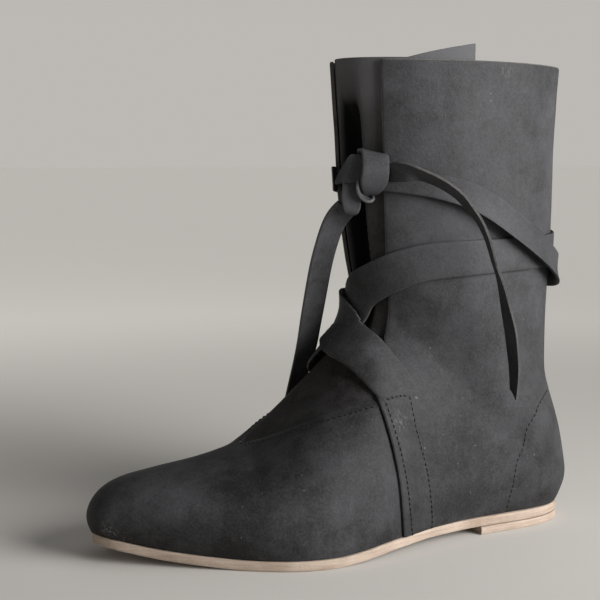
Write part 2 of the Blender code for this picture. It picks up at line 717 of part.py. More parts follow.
def main():
    """Clears the scene and builds every piece under one root."""
    for item in list(bpy.data.objects):
        bpy.data.objects.remove(item, do_unlink=True)
    collection = bpy.data.collections.new("medieval_boot")
    bpy.context.scene.collection.children.link(collection)
    root = bpy.data.objects.new("boot_root", None)
    root.location = (-ORIGIN_X * MM, -ORIGIN_Y * MM, 0.0)
    collection.objects.link(root)
    leather = make_material("black_leather", BLACK_LEATHER)
    tongue_leather = make_material("tongue_leather", TONGUE_LEATHER)
    sole_leather = make_material("sole_leather", SOLE_LEATHER)
    insole_leather = make_material("insole_leather", INSOLE_LEATHER)
    pieces = (
        ("outsole", make_outsole(), sole_leather),
        ("heel_lift", make_heel_lift(), sole_leather),
        ("insole", make_insole(), insole_leather),
        ("upper", upper_mesh(make_upper()), leather),
        ("tongue", make_tongue(), tongue_leather),
        ("strap_lateral", make_strap(STRAP_LATERAL), leather),
        ("strap_medial", make_strap(STRAP_MEDIAL), leather),
        ("strap_tail_lateral", make_tail(TAIL_LATERAL), leather),
        ("strap_tail_medial", make_tail(TAIL_MEDIAL), leather),
    )
    for name, (vertices, faces), material in pieces:
        mesh_object(name, vertices, faces, material, collection, root)
    make_knot("knot", leather, collection, root)


main()
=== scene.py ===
"""Looks of an ankle-tied leather boot for the left foot.

Lengths in the tables are millimetres on the last: x runs from the heel of the sole to the toe,
y from medial to lateral, z up from the floor. world() carries them into the frame, in metres.
Stations count the last's sections from toe to rim. Side runs from 1 (lateral) over 0 (crest) to
-1 (medial), and past 1 or -1 on round the back of the shaft.
"""

import bmesh
import bpy
import numpy as np
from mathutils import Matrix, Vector, noise

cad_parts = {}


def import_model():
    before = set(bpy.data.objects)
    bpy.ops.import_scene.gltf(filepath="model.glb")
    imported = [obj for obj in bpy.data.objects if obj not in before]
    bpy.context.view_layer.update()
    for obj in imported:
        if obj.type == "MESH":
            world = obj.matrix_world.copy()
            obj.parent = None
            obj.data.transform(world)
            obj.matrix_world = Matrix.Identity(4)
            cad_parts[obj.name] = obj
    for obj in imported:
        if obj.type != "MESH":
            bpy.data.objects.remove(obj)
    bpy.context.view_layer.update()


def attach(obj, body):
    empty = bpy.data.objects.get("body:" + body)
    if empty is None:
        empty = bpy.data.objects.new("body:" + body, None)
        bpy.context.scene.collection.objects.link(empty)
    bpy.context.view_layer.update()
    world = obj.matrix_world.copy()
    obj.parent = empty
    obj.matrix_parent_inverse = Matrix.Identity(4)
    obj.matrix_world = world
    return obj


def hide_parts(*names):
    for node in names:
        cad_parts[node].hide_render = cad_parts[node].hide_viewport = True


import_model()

MM = 0.001
ORIGIN = np.array([138.58, 3.83, 0.0])

# Driving dimensions, as in the part's source
SOLE_LENGTH = 280.0
SOLE_THICK = 5.4
LIFT_THICK = 4.6
HEEL_BREAST = 66.0
INSOLE_THICK = 2.4
WALL = 2.0
QUARTER_STEP = 1.6
TONGUE_THICK = 1.7
STRAP_THICK = 1.8
GAP = 0.3
STRAP_GAP = 0.55
CROSSING_GAP = 1.1
TONGUE_GAP = 0.9

# Photo's camera on the last: place, heading and focal length in pixels of the 600 pixel frame
PHOTO_SIDE = 600
CAMERA_PLACE = (428.64, 623.69, 212.79)
CAMERA_YAW = -112.98
CAMERA_PITCH = -6.5
CAMERA_FOCAL = 1237.25
SENSOR = 36.0
CAMERA_CLIP = 0.01

# Sole outline from heel to toe
OUTLINE_COLUMNS = ("x", "lateral", "medial")
OUTLINE = (
    (0, 0, 0),
    (4, 15, -15),
    (14, 25, -25),
    (35, 31, -31),
    (66, 33.5, -30),
    (100, 40, -26),
    (130, 49, -29),
    (160, 54.6, -36),
    (188, 51.8, -43),
    (215, 38, -45),
    (240, 23.5, -41),
    (262, 10, -31.5),
    (274, 1.2, -21.5),
    (280, -10, -10),
)

# Underside of the outsole: heel seat, arch, flat tread under the ball, toe spring
UNDERSIDE_COLUMNS = ("x", "height")
UNDERSIDE = (
    (-10, LIFT_THICK + GAP),
    (66, LIFT_THICK + GAP),
    (100, 4.9),
    (130, 3.4),
    (152, 1),
    (168, 0),
    (205, 0),
    (240, 2.6),
    (280, 9.5),
)

# Sections of the last from toe to rim, as in the part's source
SECTION_COLUMNS = ("base_x", "rise", "crest_x", "crest_z", "lateral", "medial", "crest_y", "belly",
                   "closed")
SECTIONS = (
    (279.4, 0, 280.6, 15.2, -7.5, -12.5, -10, 0.5, 0),
    (278, 0, 282.6, 22.3, -1, -19, -10, 0.5, 0),
    (273.5, 0, 280.2, 30.6, 4.5, -24.5, -10, 0.5, 0),
    (266, 0, 273.5, 37.6, 10, -31, -10, 0.48, 0),
    (254, 0, 261.5, 42.6, 18, -38.5, -10, 0.46, 0),
    (234, 0, 240.5, 45.8, 30, -45, -10, 0.43, 0),
    (208, 0, 213, 50.8, 44.5, -47.5, -10, 0.4, 0),
    (180, 0, 190.5, 61, 53.5, -43.5, -10, 0.36, 0),
    (150, 0, 161.5, 87.5, 53.5, -36.5, -9, 0.3, 0),
    (121, 0, 137, 112, 48.5, -33, -7.5, 0.28, 0),
    (86, 0, 132.6, 121, 41.5, -33, -6, 0.31, 0),
    (50, 0, 131.4, 127.5, 37.5, -34.5, -4.5, 0.36, 0.05),
    (20, 0, 131.2, 133.5, 36.5, -35, -3.5, 0.4, 0.3),
    (1, 0, 131.4, 138.5, 36, -35.5, -3, 0.43, 0.8),
    (-6.5, 13, 131.9, 143.5, 36.2, -35.8, -2.5, 0.45, 1),
    (-1, 42, 132.8, 149.5, 36.8, -36.5, -2, 0.46, 1),
    (7.4, 75, 134.2, 157.5, 37.5, -37, -1.5, 0.48, 1),
    (9.2, 110, 136.2, 169.5, 38.5, -38, -1, 0.49, 1),
    (7, 155, 138.8, 189, 39.5, -39, -0.5, 0.49, 1),
    (5.8, 205, 141.3, 221, 40.5, -40, 0, 0.49, 1),
    (3.3, 254, 144.5, 266, 41.5, -41, 0, 0.49, 1),
    (2.8, 274, 145.5, 286, 41.5, -41, 0, 0.49, 1),
)

# Heel cup, by even steps up from the sole: how far the upper stands out over the sole's outline
HEEL_CUP_COLUMNS = ("back", "sides")
HEEL_CUP = (
    (0, -1),
    (5.4, 2.4),
    (4.2, 3.6),
    (1.2, 4.2),
    (-2.6, 4.7),
    (-6, 4.9),
    (-8, 5),
)
HEEL_CUP_STEP = 13.4
# Upright axis of the cup, and where the cup gives way to the sections, ahead of it and above it
HEEL_AXIS = 34.0
HEEL_CUP_AHEAD = (18.0, 58.0)
HEEL_CUP_ABOVE = (50.0, 85.0)
HEEL_CUP_POINTS = 60
HEEL_BACK = 13.09
RIM = 20.0
QUARTER_EDGE = 8.93
QUARTER_FADE = 1.6
FEATHER_INSET = 1.0
TOE_WALL_SETBACK = 0.9
TOE_WALL_FADE = 0.7
NARROW_SOLE = 20.0
INSOLE_SIDE_ROOM = 3.2
# Steps along the sole's outline, and the small step on the last that gives its tangents
OUTLINE_STEPS = 3000
TANGENT_STEP = 0.004

# Edge of the throat on each side of the crest: vamp seam first, then the shaft's front edges
THROAT_COLUMNS = ("station", "lateral", "medial")
THROAT = (
    (6.75, 0, 0),
    (7.1, 0.065, 0.065),
    (7.62, 0.147, 0.147),
    (8.38, 0.235, 0.235),
    (8.9, 0.272, 0.272),
    (10.2, 0.225, 0.19),
    (11.2, 0.19, 0.135),
    (13, 0.184, 0.09),
    (17.85, 0.208, 0.08),
    (20, 0.213, 0.06),
)

# Tongue from under the vamp to its top: reach past the crest on each side
TONGUE_COLUMNS = ("station", "lateral", "medial")
TONGUE = (
    (6.2, 0.03, 0.03),
    (7.1, 0.12, 0.12),
    (8, 0.235, 0.235),
    (9, 0.3, 0.3),
    (11, 0.255, 0.205),
    (13.5, 0.25, 0.16),
    (17, 0.3, 0.15),
    (20, 0.475, 0.13),
)
TONGUE_TOP_FRONT = 20.03
TONGUE_TOP_CORNER = 20.32
TONGUE_SLANT = 0.70
FOLD_SIDE = 0.045
FOLD_HALF_WIDTH = 0.085
FOLD_COLUMNS = ("station", "depth")
FOLD = (
    (9.5, 0),
    (12.5, 4),
    (15, 8),
    (18.5, 12),
    (19.1, 9),
    (19.6, 1),
    (19.9, 0),
)

# Straps on the last's own stations. lift: 1 over the other strap, below 0 sunk into the quarter at
# the root; left, right: how far that edge, seen along the strap, stands off its seat
STRAP_COLUMNS = ("station", "side", "width", "lift", "left", "right")
STRAP_LATERAL = (
    (10.45, 0.5, 23, -0.84, 0, 0),
    (10.12, 0.405, 23, -0.81, 0, 0),
    (9.83, 0.295, 24.6, -0.76, 0, 0),
    (9.36, 0.181, 23.3, -0.15, 0, 0),
    (9.15, 0.061, 28.7, 0.92, 0.2, 0.5),
    (10.07, -0.012, 30, 1, 0.6, 1),
    (12.4, -0.155, 23.5, 1, 0.6, 0.4),
    (14.9, -0.28, 21.5, 0.9, 0.3, 0.2),
    (16.4, -0.43, 20.5, 0.6, 0.2, 0.2),
    (17.2, -0.61, 19.5, 0.8, 0.2, 0.4),
    (17.55, -0.82, 18.5, 1, 0.4, 0.8),
    (17.6, -1.03, 18, 1, 1.4, 0.8),
    (17.72, -1.225, 15, 1, 3.6, 0.3),
    (18.04, -1.4, 14.6, 1, 3.4, 0),
    (18.35, -1.525, 14.1, 0.9, 2.4, -0.4),
    (18.49, -1.65, 13.1, 0.4, 0.8, -0.4),
    (18.51, -1.76, 12.1, 0.1, 0.3, 0),
    (18.51, -1.85, 11.3, 0, 0.2, 0.2),
)
STRAP_MEDIAL = (
    (10.45, -0.5, 23, -0.84, 0, 0),
    (10.12, -0.405, 23, -0.81, 0, 0),
    (9.83, -0.295, 24.6, -0.7, 0, 0),
    (8.82, -0.175, 24, -0.15, 0, -0.6),
    (9.38, -0.082, 27.3, 0.15, 0, 2.8),
    (10.6, 0.005, 27, 0, 0, 1.1),
    (13.9, 0.083, 22.5, 0, 0, 0.4),
    (16.35, 0.238, 20.8, 0, 0, 0.5),
    (17.22, 0.393, 20, 0, 0, 0.3),
    (17.57, 0.545, 18.8, 0, -0.2, 0.3),
    (17.8, 0.73, 18.2, 0, -0.2, 0.2),
    (17.94, 0.96, 17.5, 0, 0, 0.2),
    (18.05, 1.18, 17, 0, 0.3, 0.3),
    (18.25, 1.39, 16.5, 0, 0.6, 0.3),
    (18.42, 1.6, 16, 0, 0.6, 0.2),
    (18.47, 1.76, 15, 0, 0.4, 0.2),
    (18.48, 1.88, 14.0, 0.0, 0.2, 0.2),
    (18.48, 1.96, 13.5, 0.0, 0.0, 0.0),
)

# The two hanging ends of the straps. face: degrees from the toe's direction towards lateral
# that the flat of the strap looks in; tilt: degrees that it looks up
TAIL_COLUMNS = ("x", "y", "z", "width", "face", "tilt")
TAIL_LATERAL = (
    (126.7, 31.1, 205.3, 10.1, 46.0, -14.0),
    (123.1, 41.3, 206.2, 12.0, 37.0, -32.0),
    (118.9, 46.3, 205.9, 13.0, 29.0, -50.0),
    (114.3, 49.3, 204.5, 13.0, 21.0, -57.0),
    (106.4, 53.1, 200.7, 13.0, 11.0, -56.0),
    (98.1, 56.3, 194.8, 13.0, 0.0, -50.0),
    (92.4, 57.8, 188.8, 13.0, -9.0, -41.0),
    (85.6, 59.0, 179.9, 13.0, -17.0, -31.0),
    (79.7, 59.2, 168.0, 13.0, -22.0, -23.0),
    (75.5, 58.8, 156.6, 13.0, -23.0, -19.0),
    (71.3, 58.5, 146.2, 13.0, -19.0, -17.0),
    (67.0, 57.4, 131.9, 13.0, -10.0, -15.0),
    (63.9, 56.8, 120.7, 13.0, -5.0, -13.0),
    (61.7, 56.1, 109.5, 12.6, -5.0, -10.0),
    (60.0, 55.3, 98.3, 12.0, -7.0, -5.0),
    (59.4, 54.3, 84.6, 9.4, -10.0, -2.0),
)
TAIL_MEDIAL = (
    (145.9, 20.8, 187.2, 12.0, 80.0, 0.0),
    (148.6, 12.0, 179.6, 13.5, 90.0, 0.0),
    (149.8, 4.0, 168.0, 14.5, 97.0, 0.0),
    (150.3, -3.5, 154.0, 14.5, 97.0, 0.0),
    (150.1, -12.0, 135.4, 14.5, 97.0, 0.0),
    (150.0, -19.5, 117.5, 14.0, 97.0, 0.0),
    (150.2, -27.0, 100.0, 13.0, 97.0, 0.0),
    (153.5, -37.0, 74.5, 9.0, 97.0, 0.0),
)

# Turns of strap in the knot, each between two edge lines: millimetres right of, over and out from the
# knot's seat on the last, seen from the camera's side
KNOT_STATION = 18.5
KNOT_SIDE = 0.16
EDGE_COLUMNS = ("right_a", "up_a", "out_a", "right_b", "up_b", "out_b")
# Band wrapped over the front, from behind the top, turned in below
KNOT_WRAP = (
    (-6.3, 13.9, 3, 8.9, 10.8, 2),
    (-6.8, 15.1, 8, 9.2, 11.7, 7),
    (-5.1, 13.5, 13, 9.5, 10.5, 12),
    (-4.7, 8.8, 15.6, 9.8, 7.1, 14.4),
    (-4.7, 4.2, 16.6, 9.7, 3.3, 15.2),
    (-5.2, 0, 16.4, 9.4, -0.4, 14.6),
    (-5.4, -4.2, 14.4, 8.4, -3.8, 12),
    (-4.4, -7.2, 11, 6.6, -6.4, 8.6),
    (-3, -8.8, 7, 4.6, -7.8, 5),
    (-1.8, -9, 3.4, 3.2, -8.2, 2),
)
# Cut edge of the turned strap below the wrap, curling round from its left side, and its inner face
KNOT_CURL = (
    (-6.6, -1.4, 13.6, -5.2, -0.6, 5),
    (-7.2, -4.4, 14.2, -5.4, -3.4, 5),
    (-6.9, -8, 14.2, -4.8, -6.4, 5),
    (-5.2, -11.2, 13.6, -3.2, -8.8, 5),
    (-2.4, -13, 12.6, -1, -10.2, 4.6),
    (0.4, -12.8, 11.2, 1, -10, 4.2),
    (2, -11.2, 9.6, 2, -9, 4),
)
# Loop that hangs below on the left, folded back behind itself
KNOT_LOOP = (
    (-14.5, -0.5, 7, -6, -0.5, 7),
    (-15.2, -6, 8.8, -5.2, -6, 8.8),
    (-15.4, -11.5, 8.8, -4.8, -11.5, 8.8),
    (-14.4, -16.8, 7.6, -5.6, -17.4, 7.6),
    (-13.2, -18.2, 5, -8, -18.6, 5),
    (-12.6, -12.8, 2.6, -9.4, -13, 2.6),
)
# Turns inside, which the others hide: middles and half sizes across, over and out
KNOT_CORE_COLUMNS = ("right", "up", "out", "half_up", "half_out")
KNOT_CORE = (
    (-9.5, 3, 4.2, 1, 0.6),
    (-7, 3, 4.4, 5.6, 3.2),
    (-2, 3, 5, 7.4, 4),
    (3, 3, 5.4, 7.2, 4.4),
    (6.6, 3.2, 5.6, 5, 3.4),
    (8, 3.2, 5.6, 1, 0.6),
)
KNOT_CORE_SIDES = 20
# Strap that enters from the left under the wrap, and goes on as the lateral hanging end
KNOT_ENTRY = (
    (-18, -3, 3.6, -18, -0.8, 3.6),
    (-16.6, -2.8, 6.2, -15.6, 4.4, 6.2),
    (-13.6, -2.8, 8.2, -11.6, 11.2, 8.2),
    (-9.6, -2.8, 9.2, -8.4, 12.6, 9.2),
    (-4, -2.4, 9.6, -3.6, 12.4, 10),
    (2, -2, 9.2, 2, 11.2, 11),
    (10.2, -2.2, 8.3, 7.6, 7.3, 10.8),
)
KNOT_RINGS = 72
# Rings of the loop with pale edges, before it curls under; past them its edges are painted black as shade
LOOP_PALE_RINGS = 30

# Wear of the quarter's front edge, and the fine groove in front of it, with their reach in stations
EDGE_WEAR = 0.35
EDGE_WEAR_REACH = 0.03
SEAM_GROOVE = 0.5
SEAM_GROOVE_REACH = 0.035

# Soft troughs (depth above 0) and ridges (below 0) of the worn leather, between two places on the last
CREASE_COLUMNS = ("from_station", "from_side", "to_station", "to_side", "width", "depth")
CREASES = (
    (6.75, 0.02, 6.45, 0.3, 5, 0.55),
    (6.55, 0.1, 5.75, 0.62, 9, 0.5),
    (6.05, 0.05, 5.35, 0.5, 9, 0.35),
    (6.3, 0.12, 5.6, 0.6, 7, -0.3),
    (7.4, 0.45, 7.05, 0.85, 12, 0.45),
    (6.75, -0.02, 6.45, -0.3, 5, 0.55),
    (6.55, -0.12, 5.75, -0.62, 9, 0.5),
    (6.05, -0.05, 5.35, -0.5, 9, 0.35),
    (7.4, -0.45, 7.05, -0.85, 12, 0.45),
    (10.75, 0.36, 10.6, 0.8, 15, 0.7),
    (12.6, 0.3, 12.9, 0.62, 13, 0.6),
    (14.2, 0.27, 15.6, 0.62, 13, 0.8),
    (15.4, 0.32, 16.4, 0.7, 10, -0.5),
    (15.7, 0.7, 16.3, 0.98, 9, 0.7),
    (10.75, -0.36, 10.6, -0.8, 15, 0.7),
    (14.2, -0.22, 15.6, -0.62, 13, 0.8),
    (15.7, -0.7, 16.3, -0.98, 9, 0.7),
    (19.95, 0.385, 19.25, 0.39, 3, 0.25),
    (18.78, 0.5, 18.72, 0.66, 2.6, 0.25),
    (18.95, 0.3, 18.55, 0.52, 18, 0.8),
)
# Points along a crease, the share at its ends where it has faded, and how many widths it reaches
CREASE_POINTS = 13
CREASE_FADED = 0.02
CREASE_REACH = 3
# Gentle unevenness of the hide: size of a wave and its height
HIDE_WAVES = ((38.0, 0.55), (14.0, 0.16))

# Sharpest bend in radians that stays smooth, and metres within which points are one
SMOOTH_BEND = 0.6
WELD = 2e-6

# Rounded edge of a band of leather: distance from the edge and share of the half thickness there
BAND_EDGE = ((0.0, 0.50), (0.30, 0.86), (0.80, 1.0))
BAND_MIDDLE = 7

# Hanging ends: slant of the cut tip and where it sets in, how the edges cup, and the stretch in the
# knot's shade whose edges are painted black as shade, in the face finish instead of the pale cut edge
TIP_SLANT = 2.2
TIP_FROM = 0.85
TAIL_CUP = 0.5
TAIL_RINGS = 120
TAIL_SHADE_RINGS = 8

# Wound straps: rings, steps taken sideways on the last, lowest lift, how sharply a lifted edge curves
STRAP_RINGS = 300
STRAP_SIDE_STEPS = 4
LOWEST_LIFT = -1.05
EDGE_CURVE = 3
# Lift at which a strap's face is level with the quarter it is cut in one with, and the blend from there
ROOT_LIFT = -0.81
ROOT_BLEND = 0.9

# Upper: stretches of even stations (from, to, count), and stations close to the quarter's edge and to
# the rim, counted from these
UPPER_STRETCHES = (
    (0, 1, 16),
    (1, 4, 30),
    (4, 8.86, 58),
    (9.02, 13, 44),
    (13, 16, 34),
    (16, 19.96, 52),
)
EDGE_STATIONS = (-0.035, -0.02, -0.008, -0.001, 0.001, 0.008, 0.018, 0.03, 0.05)
RIM_STATIONS = (-0.015, 0.0)
# Columns from the sole or the back seam to the throat's rounded edge: the even ones end at a share
UPPER_COLUMNS = 84
EVEN_SHARE = 0.978
EDGE_SHARES = (0.990, 0.9965, 1.0)
EDGE_DROPS = (0.0, 0.12, 0.42)
# The rim is rounded by the same drops, at these stations counted from it
RIM_ROUNDING = (-0.04, -0.015, 0.0)
# The relief fades out this far over the sole, and shows less inside
RELIEF_FADE = 6.0
RELIEF_INSIDE = 0.8
SOLE_CLEARANCE = 0.02
# The vamp's edge is thinned towards its seam with the tongue, which rises to meet it
SKIVE = 1.1
SKIVE_REACH = 5.0
TONGUE_RISE = 1.6
TONGUE_RISE_UNDER = 0.03
TONGUE_RISE_FROM = 6.6
TONGUE_RISE_TO = (8.7, 10.4)

# Tongue: grid, close columns at its sides, share of the relief, steepness of its fold's two sides
TONGUE_ROWS = 190
TONGUE_ACROSS = 90
TONGUE_SIDE = (0.0, 0.003, 0.008)
TONGUE_RELIEF = 0.6
FOLD_STEEP_LATERAL = 0.45
FOLD_STEEP_MEDIAL = 0.42
# Depth of the fold at which its painted shade is darkest
TONGUE_SHADE_DEPTH = 3.0

# Rounded side of a layer of sole leather: distance in from the outline, share of its thickness
LAYER_SIDE = ((0.9, 1.0), (0.35, 0.965), (0.08, 0.87), (0.0, 0.70), (0.0, 0.5), (0.0, 0.30), (0.1, 0.14),
              (0.4, 0.04), (1.0, 0.0))
LAYER_STEPS = 220
LAYER_ACROSS = 15
# Unevenness of the cut side: its height, the size of a wave, and the turns of the wave up the side
SIDE_WOBBLE = 0.22
WOBBLE_SIZE = 9.0
WOBBLE_UP = 1.5
# Keeps a direction from having no length
TINY = 1e-9

# Rows of stitching on the upper, each through places on the last (station, side)
VAMP_SEAM = ((6.70, 0.015), (7.02, 0.085), (7.28, 0.125), (7.56, 0.168), (7.85, 0.206), (8.34, 0.256),
             (8.84, 0.292))
BOX_FRONT = ((9.10, 0.302), (9.10, 0.48), (9.10, 0.72), (9.11, 0.985))
BOX_BACK = ((10.23, 0.333), (9.78, 0.425), (9.62, 0.658), (9.55, 0.892), (9.52, 0.985))
BOX_TOP = ((9.14, 0.300), (9.70, 0.316), (10.20, 0.332))
COUNTER = ((15.54, 0.786), (15.19, 0.709), (14.71, 0.648), (13.67, 0.591), (12.27, 0.626), (11.51, 0.733),
           (11.16, 0.853), (11.06, 0.970))
# Each row with how far its thread stands over the leather on the lateral and on the medial side
STITCH_ROWS = (
    (VAMP_SEAM, 0.05, -0.45),
    (BOX_FRONT, 0.1, 0.1),
    (BOX_BACK, 0.1, 0.1),
    (BOX_TOP, 0.35, 0.35),
    (COUNTER, 0.0, 0.0),
)
STITCH_PITCH = 3.1
STITCH_LENGTH = 2.2
STITCH_RADIUS = 0.52
STITCH_SIDES = 6
STITCH_STEPS = 400
# Along a stitch: share of its half length, share of its radius, height over the leather in radii
STITCH_RINGS = ((-1.0, 0.35, -0.9), (-0.7, 0.9, -0.1), (0.0, 1.0, 0.25), (0.7, 0.9, -0.1),
                (1.0, 0.35, -0.9))

# Soft lights: direction from the boot as shares of the camera's right, the camera's side and up,
# strength, how wide the light is in degrees, colour
LIGHT_COLUMNS = ("right", "near", "up", "strength", "wide", "colour")
LIGHTS = (
    (0.25, -0.35, 1.0, 0.44, 60.0, (1.0, 0.985, 0.97)),
    (-0.70, 0.72, 0.25, 0.30, 70.0, (1.0, 0.97, 0.94)),
)
# Near lamp beside the shaft: metres to the camera's right, towards the camera and up, size and power
LAMP_RIGHT = 0.80
LAMP_NEAR = 0.40
LAMP_UP = 0.42
LAMP_SIZE = 0.85
LAMP_POWER = 6.4
LAMP_SPREAD = 80.0
LAMP_TARGET = (-0.08, 0.0, 0.22)
# Sky: pale at the horizon, dark overhead
SKY_PALE = (0.505, 0.485, 0.458)
SKY_DARK = (0.06, 0.06, 0.06)
SKY_PALE_UP_TO = 0.10
SKY_DARK_FROM = 0.45
FLOOR_SIDE = 60.0
FLOOR_COLOUR = (0.52, 0.50, 0.47)
FLOOR_ROUGHNESS = 0.9
FLOOR_GLOSS = 0.1
# The floor glows towards the backdrop: metres from the boot where it starts and ends, and its strength
GLOW_FROM = 0.15
GLOW_TO = 1.1
GLOW = 0.68

# Patterns in the leathers: size in metres, detail and stretch of a noise, the span of it that shows,
# and its weight in the tone
PATTERN_COLUMNS = ("name", "size", "detail", "stretch", "low", "high", "weight")
EVEN = (1, 1, 1)
BLACK_PATTERNS = (
    ("clouds", 0.055, 4.0, EVEN, 0.32, 0.68, 0.46),
    ("blotch", 0.016, 4.0, EVEN, 0.34, 0.66, 0.36),
    ("mottle", 0.0045, 4.0, EVEN, 0.3, 0.7, 0.18),
    ("grain", 0.0013, 3.0, EVEN, 0.3, 0.7, 0.34),
    ("rubs", 0.010, 4.0, (2.2, 2.2, 0.16), 0.56, 0.72, 0.10),
)
CUT_PATTERNS = (
    ("fibre", 0.0007, 3.0, EVEN, 0.3, 0.7, 0.5),
    ("patch", 0.008, 3.0, EVEN, 0.3, 0.7, 0.5),
)
SOLE_PATTERNS = (
    ("layers", 0.0011, 3.0, (0.05, 0.05, 1.0), 0.3, 0.7, 0.45),
    ("patch", 0.014, 4.0, EVEN, 0.3, 0.7, 0.35),
    ("fibre", 0.0008, 3.0, EVEN, 0.3, 0.7, 0.2),
)
INSOLE_PATTERNS = (
    ("patch", 0.040, 4.0, EVEN, 0.3, 0.7, 0.7),
    ("fibre", 0.0012, 3.0, EVEN, 0.3, 0.7, 0.3),
)
THREAD_PATTERNS = (
    ("fibre", 0.0006, 2.0, EVEN, 0.3, 0.7, 1.0),
)
# Darkest and palest colour of each leather and of the thread
BLACK_TONES = ((0.0105, 0.0100, 0.0098), (0.046, 0.0463, 0.0500))
TONGUE_TONES = ((0.010, 0.0095, 0.0092), (0.042, 0.0405, 0.0410))
CUT_TONES = ((0.036, 0.034, 0.032), (0.110, 0.104, 0.097))
SOLE_TONES = ((0.243, 0.182, 0.137), (0.424, 0.346, 0.283))
INSOLE_TONES = ((0.20, 0.13, 0.085), (0.40, 0.285, 0.20))
THREAD_TONES = ((0.003, 0.003, 0.003), (0.011, 0.011, 0.012))
# Black painted as shade in the tongue's fold and on the wound straps' edges
PAINTED_SHADE_BLACK = (0.0024, 0.0023, 0.0023)
DUST = (0.16, 0.155, 0.15)
SOLE_DIRT = (0.19, 0.135, 0.095)
# Gloss, roughness and depth of the bump in metres
CUT_SURFACE = (0.2, 0.8, 0.0003)
SOLE_SURFACE = (0.22, 0.78, 0.0005)
INSOLE_SURFACE = (0.2, 0.75, 0.0003)
THREAD_SURFACE = (0.3, 0.55, 0.0002)
BLACK_GLOSS = 0.16
TONGUE_GLOSS = 0.06
# Black leather: roughness from blotch to blotch, bumps, and how much darker it is near the floor, from one
# height in metres to another: the first step is painted shade, as the light falls mostly on the upper
# shaft, and the second darkens it just above the sole
BLACK_ROUGHNESS = (0.3, 0.7, 0.56, 0.72)
BLACK_BUMP_DEPTH = 0.00016
GRAIN_BUMP = 0.6
PORE_BUMP = 0.35
MOTTLE_BUMP = 0.8
PORE_SIZE = 0.0009
DARK_STEPS = ((0.015, 0.16, -0.40), (0.008, 0.034, -0.16))
# Specks of dust, and scratches within the scuffs: size in metres, detail, and the span that shows
SPECK_SIZE = 0.0024
SPECK_DETAIL = 2.0
SPECK_SPAN = (0.735, 0.80, 0.0, 0.45)
SCRATCH_SIZE = 0.0016
SCRATCH_DETAIL = 4.0
SCRATCH_STRETCH = (1.6, 1.6, 0.5)
SCRATCH_SPAN = (0.50, 0.66)
# Pale scuffs: place in the frame, reach and strength
SCUFFS = (
    ((0.137, 0.001, 0.019), 0.007, 0.75),
    ((0.128, 0.006, 0.012), 0.006, 0.60),
    ((-0.079, 0.037, 0.260), 0.005, 0.45),
    ((-0.015, 0.038, 0.073), 0.008, 0.45),
    ((0.055, -0.004, 0.059), 0.006, 0.40),
)
# Painted light on the tongue's top, which stands up into the light: its colour, and heights in metres
# where it sets in, with its strength
TONGUE_PAINTED_LIGHT = (0.088, 0.087, 0.091)
TONGUE_PAINTED_LIGHT_STEPS = ((0.205, 0.235, 0.40), (0.236, 0.248, 0.75))
# Heights between which the edges of the wound straps go from pale to black: painted shade, where the
# bands round the ankle stand over their shadowed gap
STRAP_EDGE_PALE = 0.115
STRAP_EDGE_FULL_SHADE = 0.135
# Raw sole leather: bumps, and dirt on it
SOLE_BUMPS = (("layers", 0.9), ("fibre", 0.5), ("patch", 0.6))
DIRT_SIZE = 0.022
DIRT_DETAIL = 5.0
DIRT_SPAN = (0.56, 0.75, 0.0, 0.55)
# Colour sockets of a mix node
MIX_FIRST = 6
MIX_SECOND = 7
MIX_RESULT = 2


def column(table, names, name):
    """One named column of a table."""
    return np.array(table, float)[:, names.index(name)]


def hermite(start, end, start_slope, end_slope, t):
    """Cubic between two values with given slopes."""
    return (start * (1 + 2 * t) * (1 - t) ** 2 + start_slope * t * (1 - t) ** 2
            + end * t * t * (3 - 2 * t) + end_slope * t * t * (t - 1))


def smooth_curve(knots, values, at, flat_ends=False):
    """Cubic curve through the rows, with slopes that don't overshoot."""
    step = np.diff(knots)
    secant = np.diff(values) / step
    total = secant[:-1] + secant[1:]
    same_way = secant[:-1] * secant[1:] > 0
    slope = np.zeros(len(knots))
    slope[1:-1] = np.where(same_way, 2 * secant[:-1] * secant[1:] / np.where(same_way, total, 1), 0)
    if not flat_ends:
        slope[0] = secant[0]
        slope[-1] = secant[-1]
    at = np.clip(np.asarray(at, float), knots[0], knots[-1])
    row = np.clip(np.searchsorted(knots, at, side="right") - 1, 0, len(step) - 1)
    return hermite(values[row], values[row + 1], slope[row] * step[row], slope[row + 1] * step[row],
                   (at - knots[row]) / step[row])


def even_spline(values, at):
    """Curve of steady bend through rows that are one station apart."""
    count = len(values)
    matrix = np.diag(np.full(count, 4.0)) + np.eye(count, k=1) + np.eye(count, k=-1)
    matrix[0, 0] = matrix[-1, -1] = 2
    rises = np.concatenate(([values[1] - values[0]], values[2:] - values[:-2], [values[-1] - values[-2]]))
    slope = np.linalg.solve(matrix, 3 * rises)
    row = np.clip(np.floor(at).astype(int), 0, count - 2)
    return hermite(values[row], values[row + 1], slope[row], slope[row + 1], at - row)


def table_curve(table, names, count):
    """Every column of a table as an even curve of count values."""
    at = np.linspace(0, len(table) - 1, count)
    return [even_spline(column(table, names, name), at) for name in names]


def ease(t):
    """Soft step from 0 to 1."""
    t = np.clip(t, 0, 1)
    return t * t * (3 - 2 * t)


def unit(vectors):
    """Vectors of length 1."""
    return vectors / np.linalg.norm(vectors, axis=-1, keepdims=True)


def world(points):
    """Places on the last, in millimetres, as places in the frame, in metres."""
    return (np.asarray(points, float) - ORIGIN) * MM


def outline(x):
    """Lateral and medial edge of the sole at x, round at heel and toe."""
    rows = np.arange(len(OUTLINE), dtype=float)
    fine = np.linspace(0, len(OUTLINE) - 1, OUTLINE_STEPS)
    along = smooth_curve(rows, column(OUTLINE, OUTLINE_COLUMNS, "x"), fine, flat_ends=True)
    edges = [even_spline(column(OUTLINE, OUTLINE_COLUMNS, side), fine) for side in ("lateral", "medial")]
    return [np.interp(x, along, edge) for edge in edges]


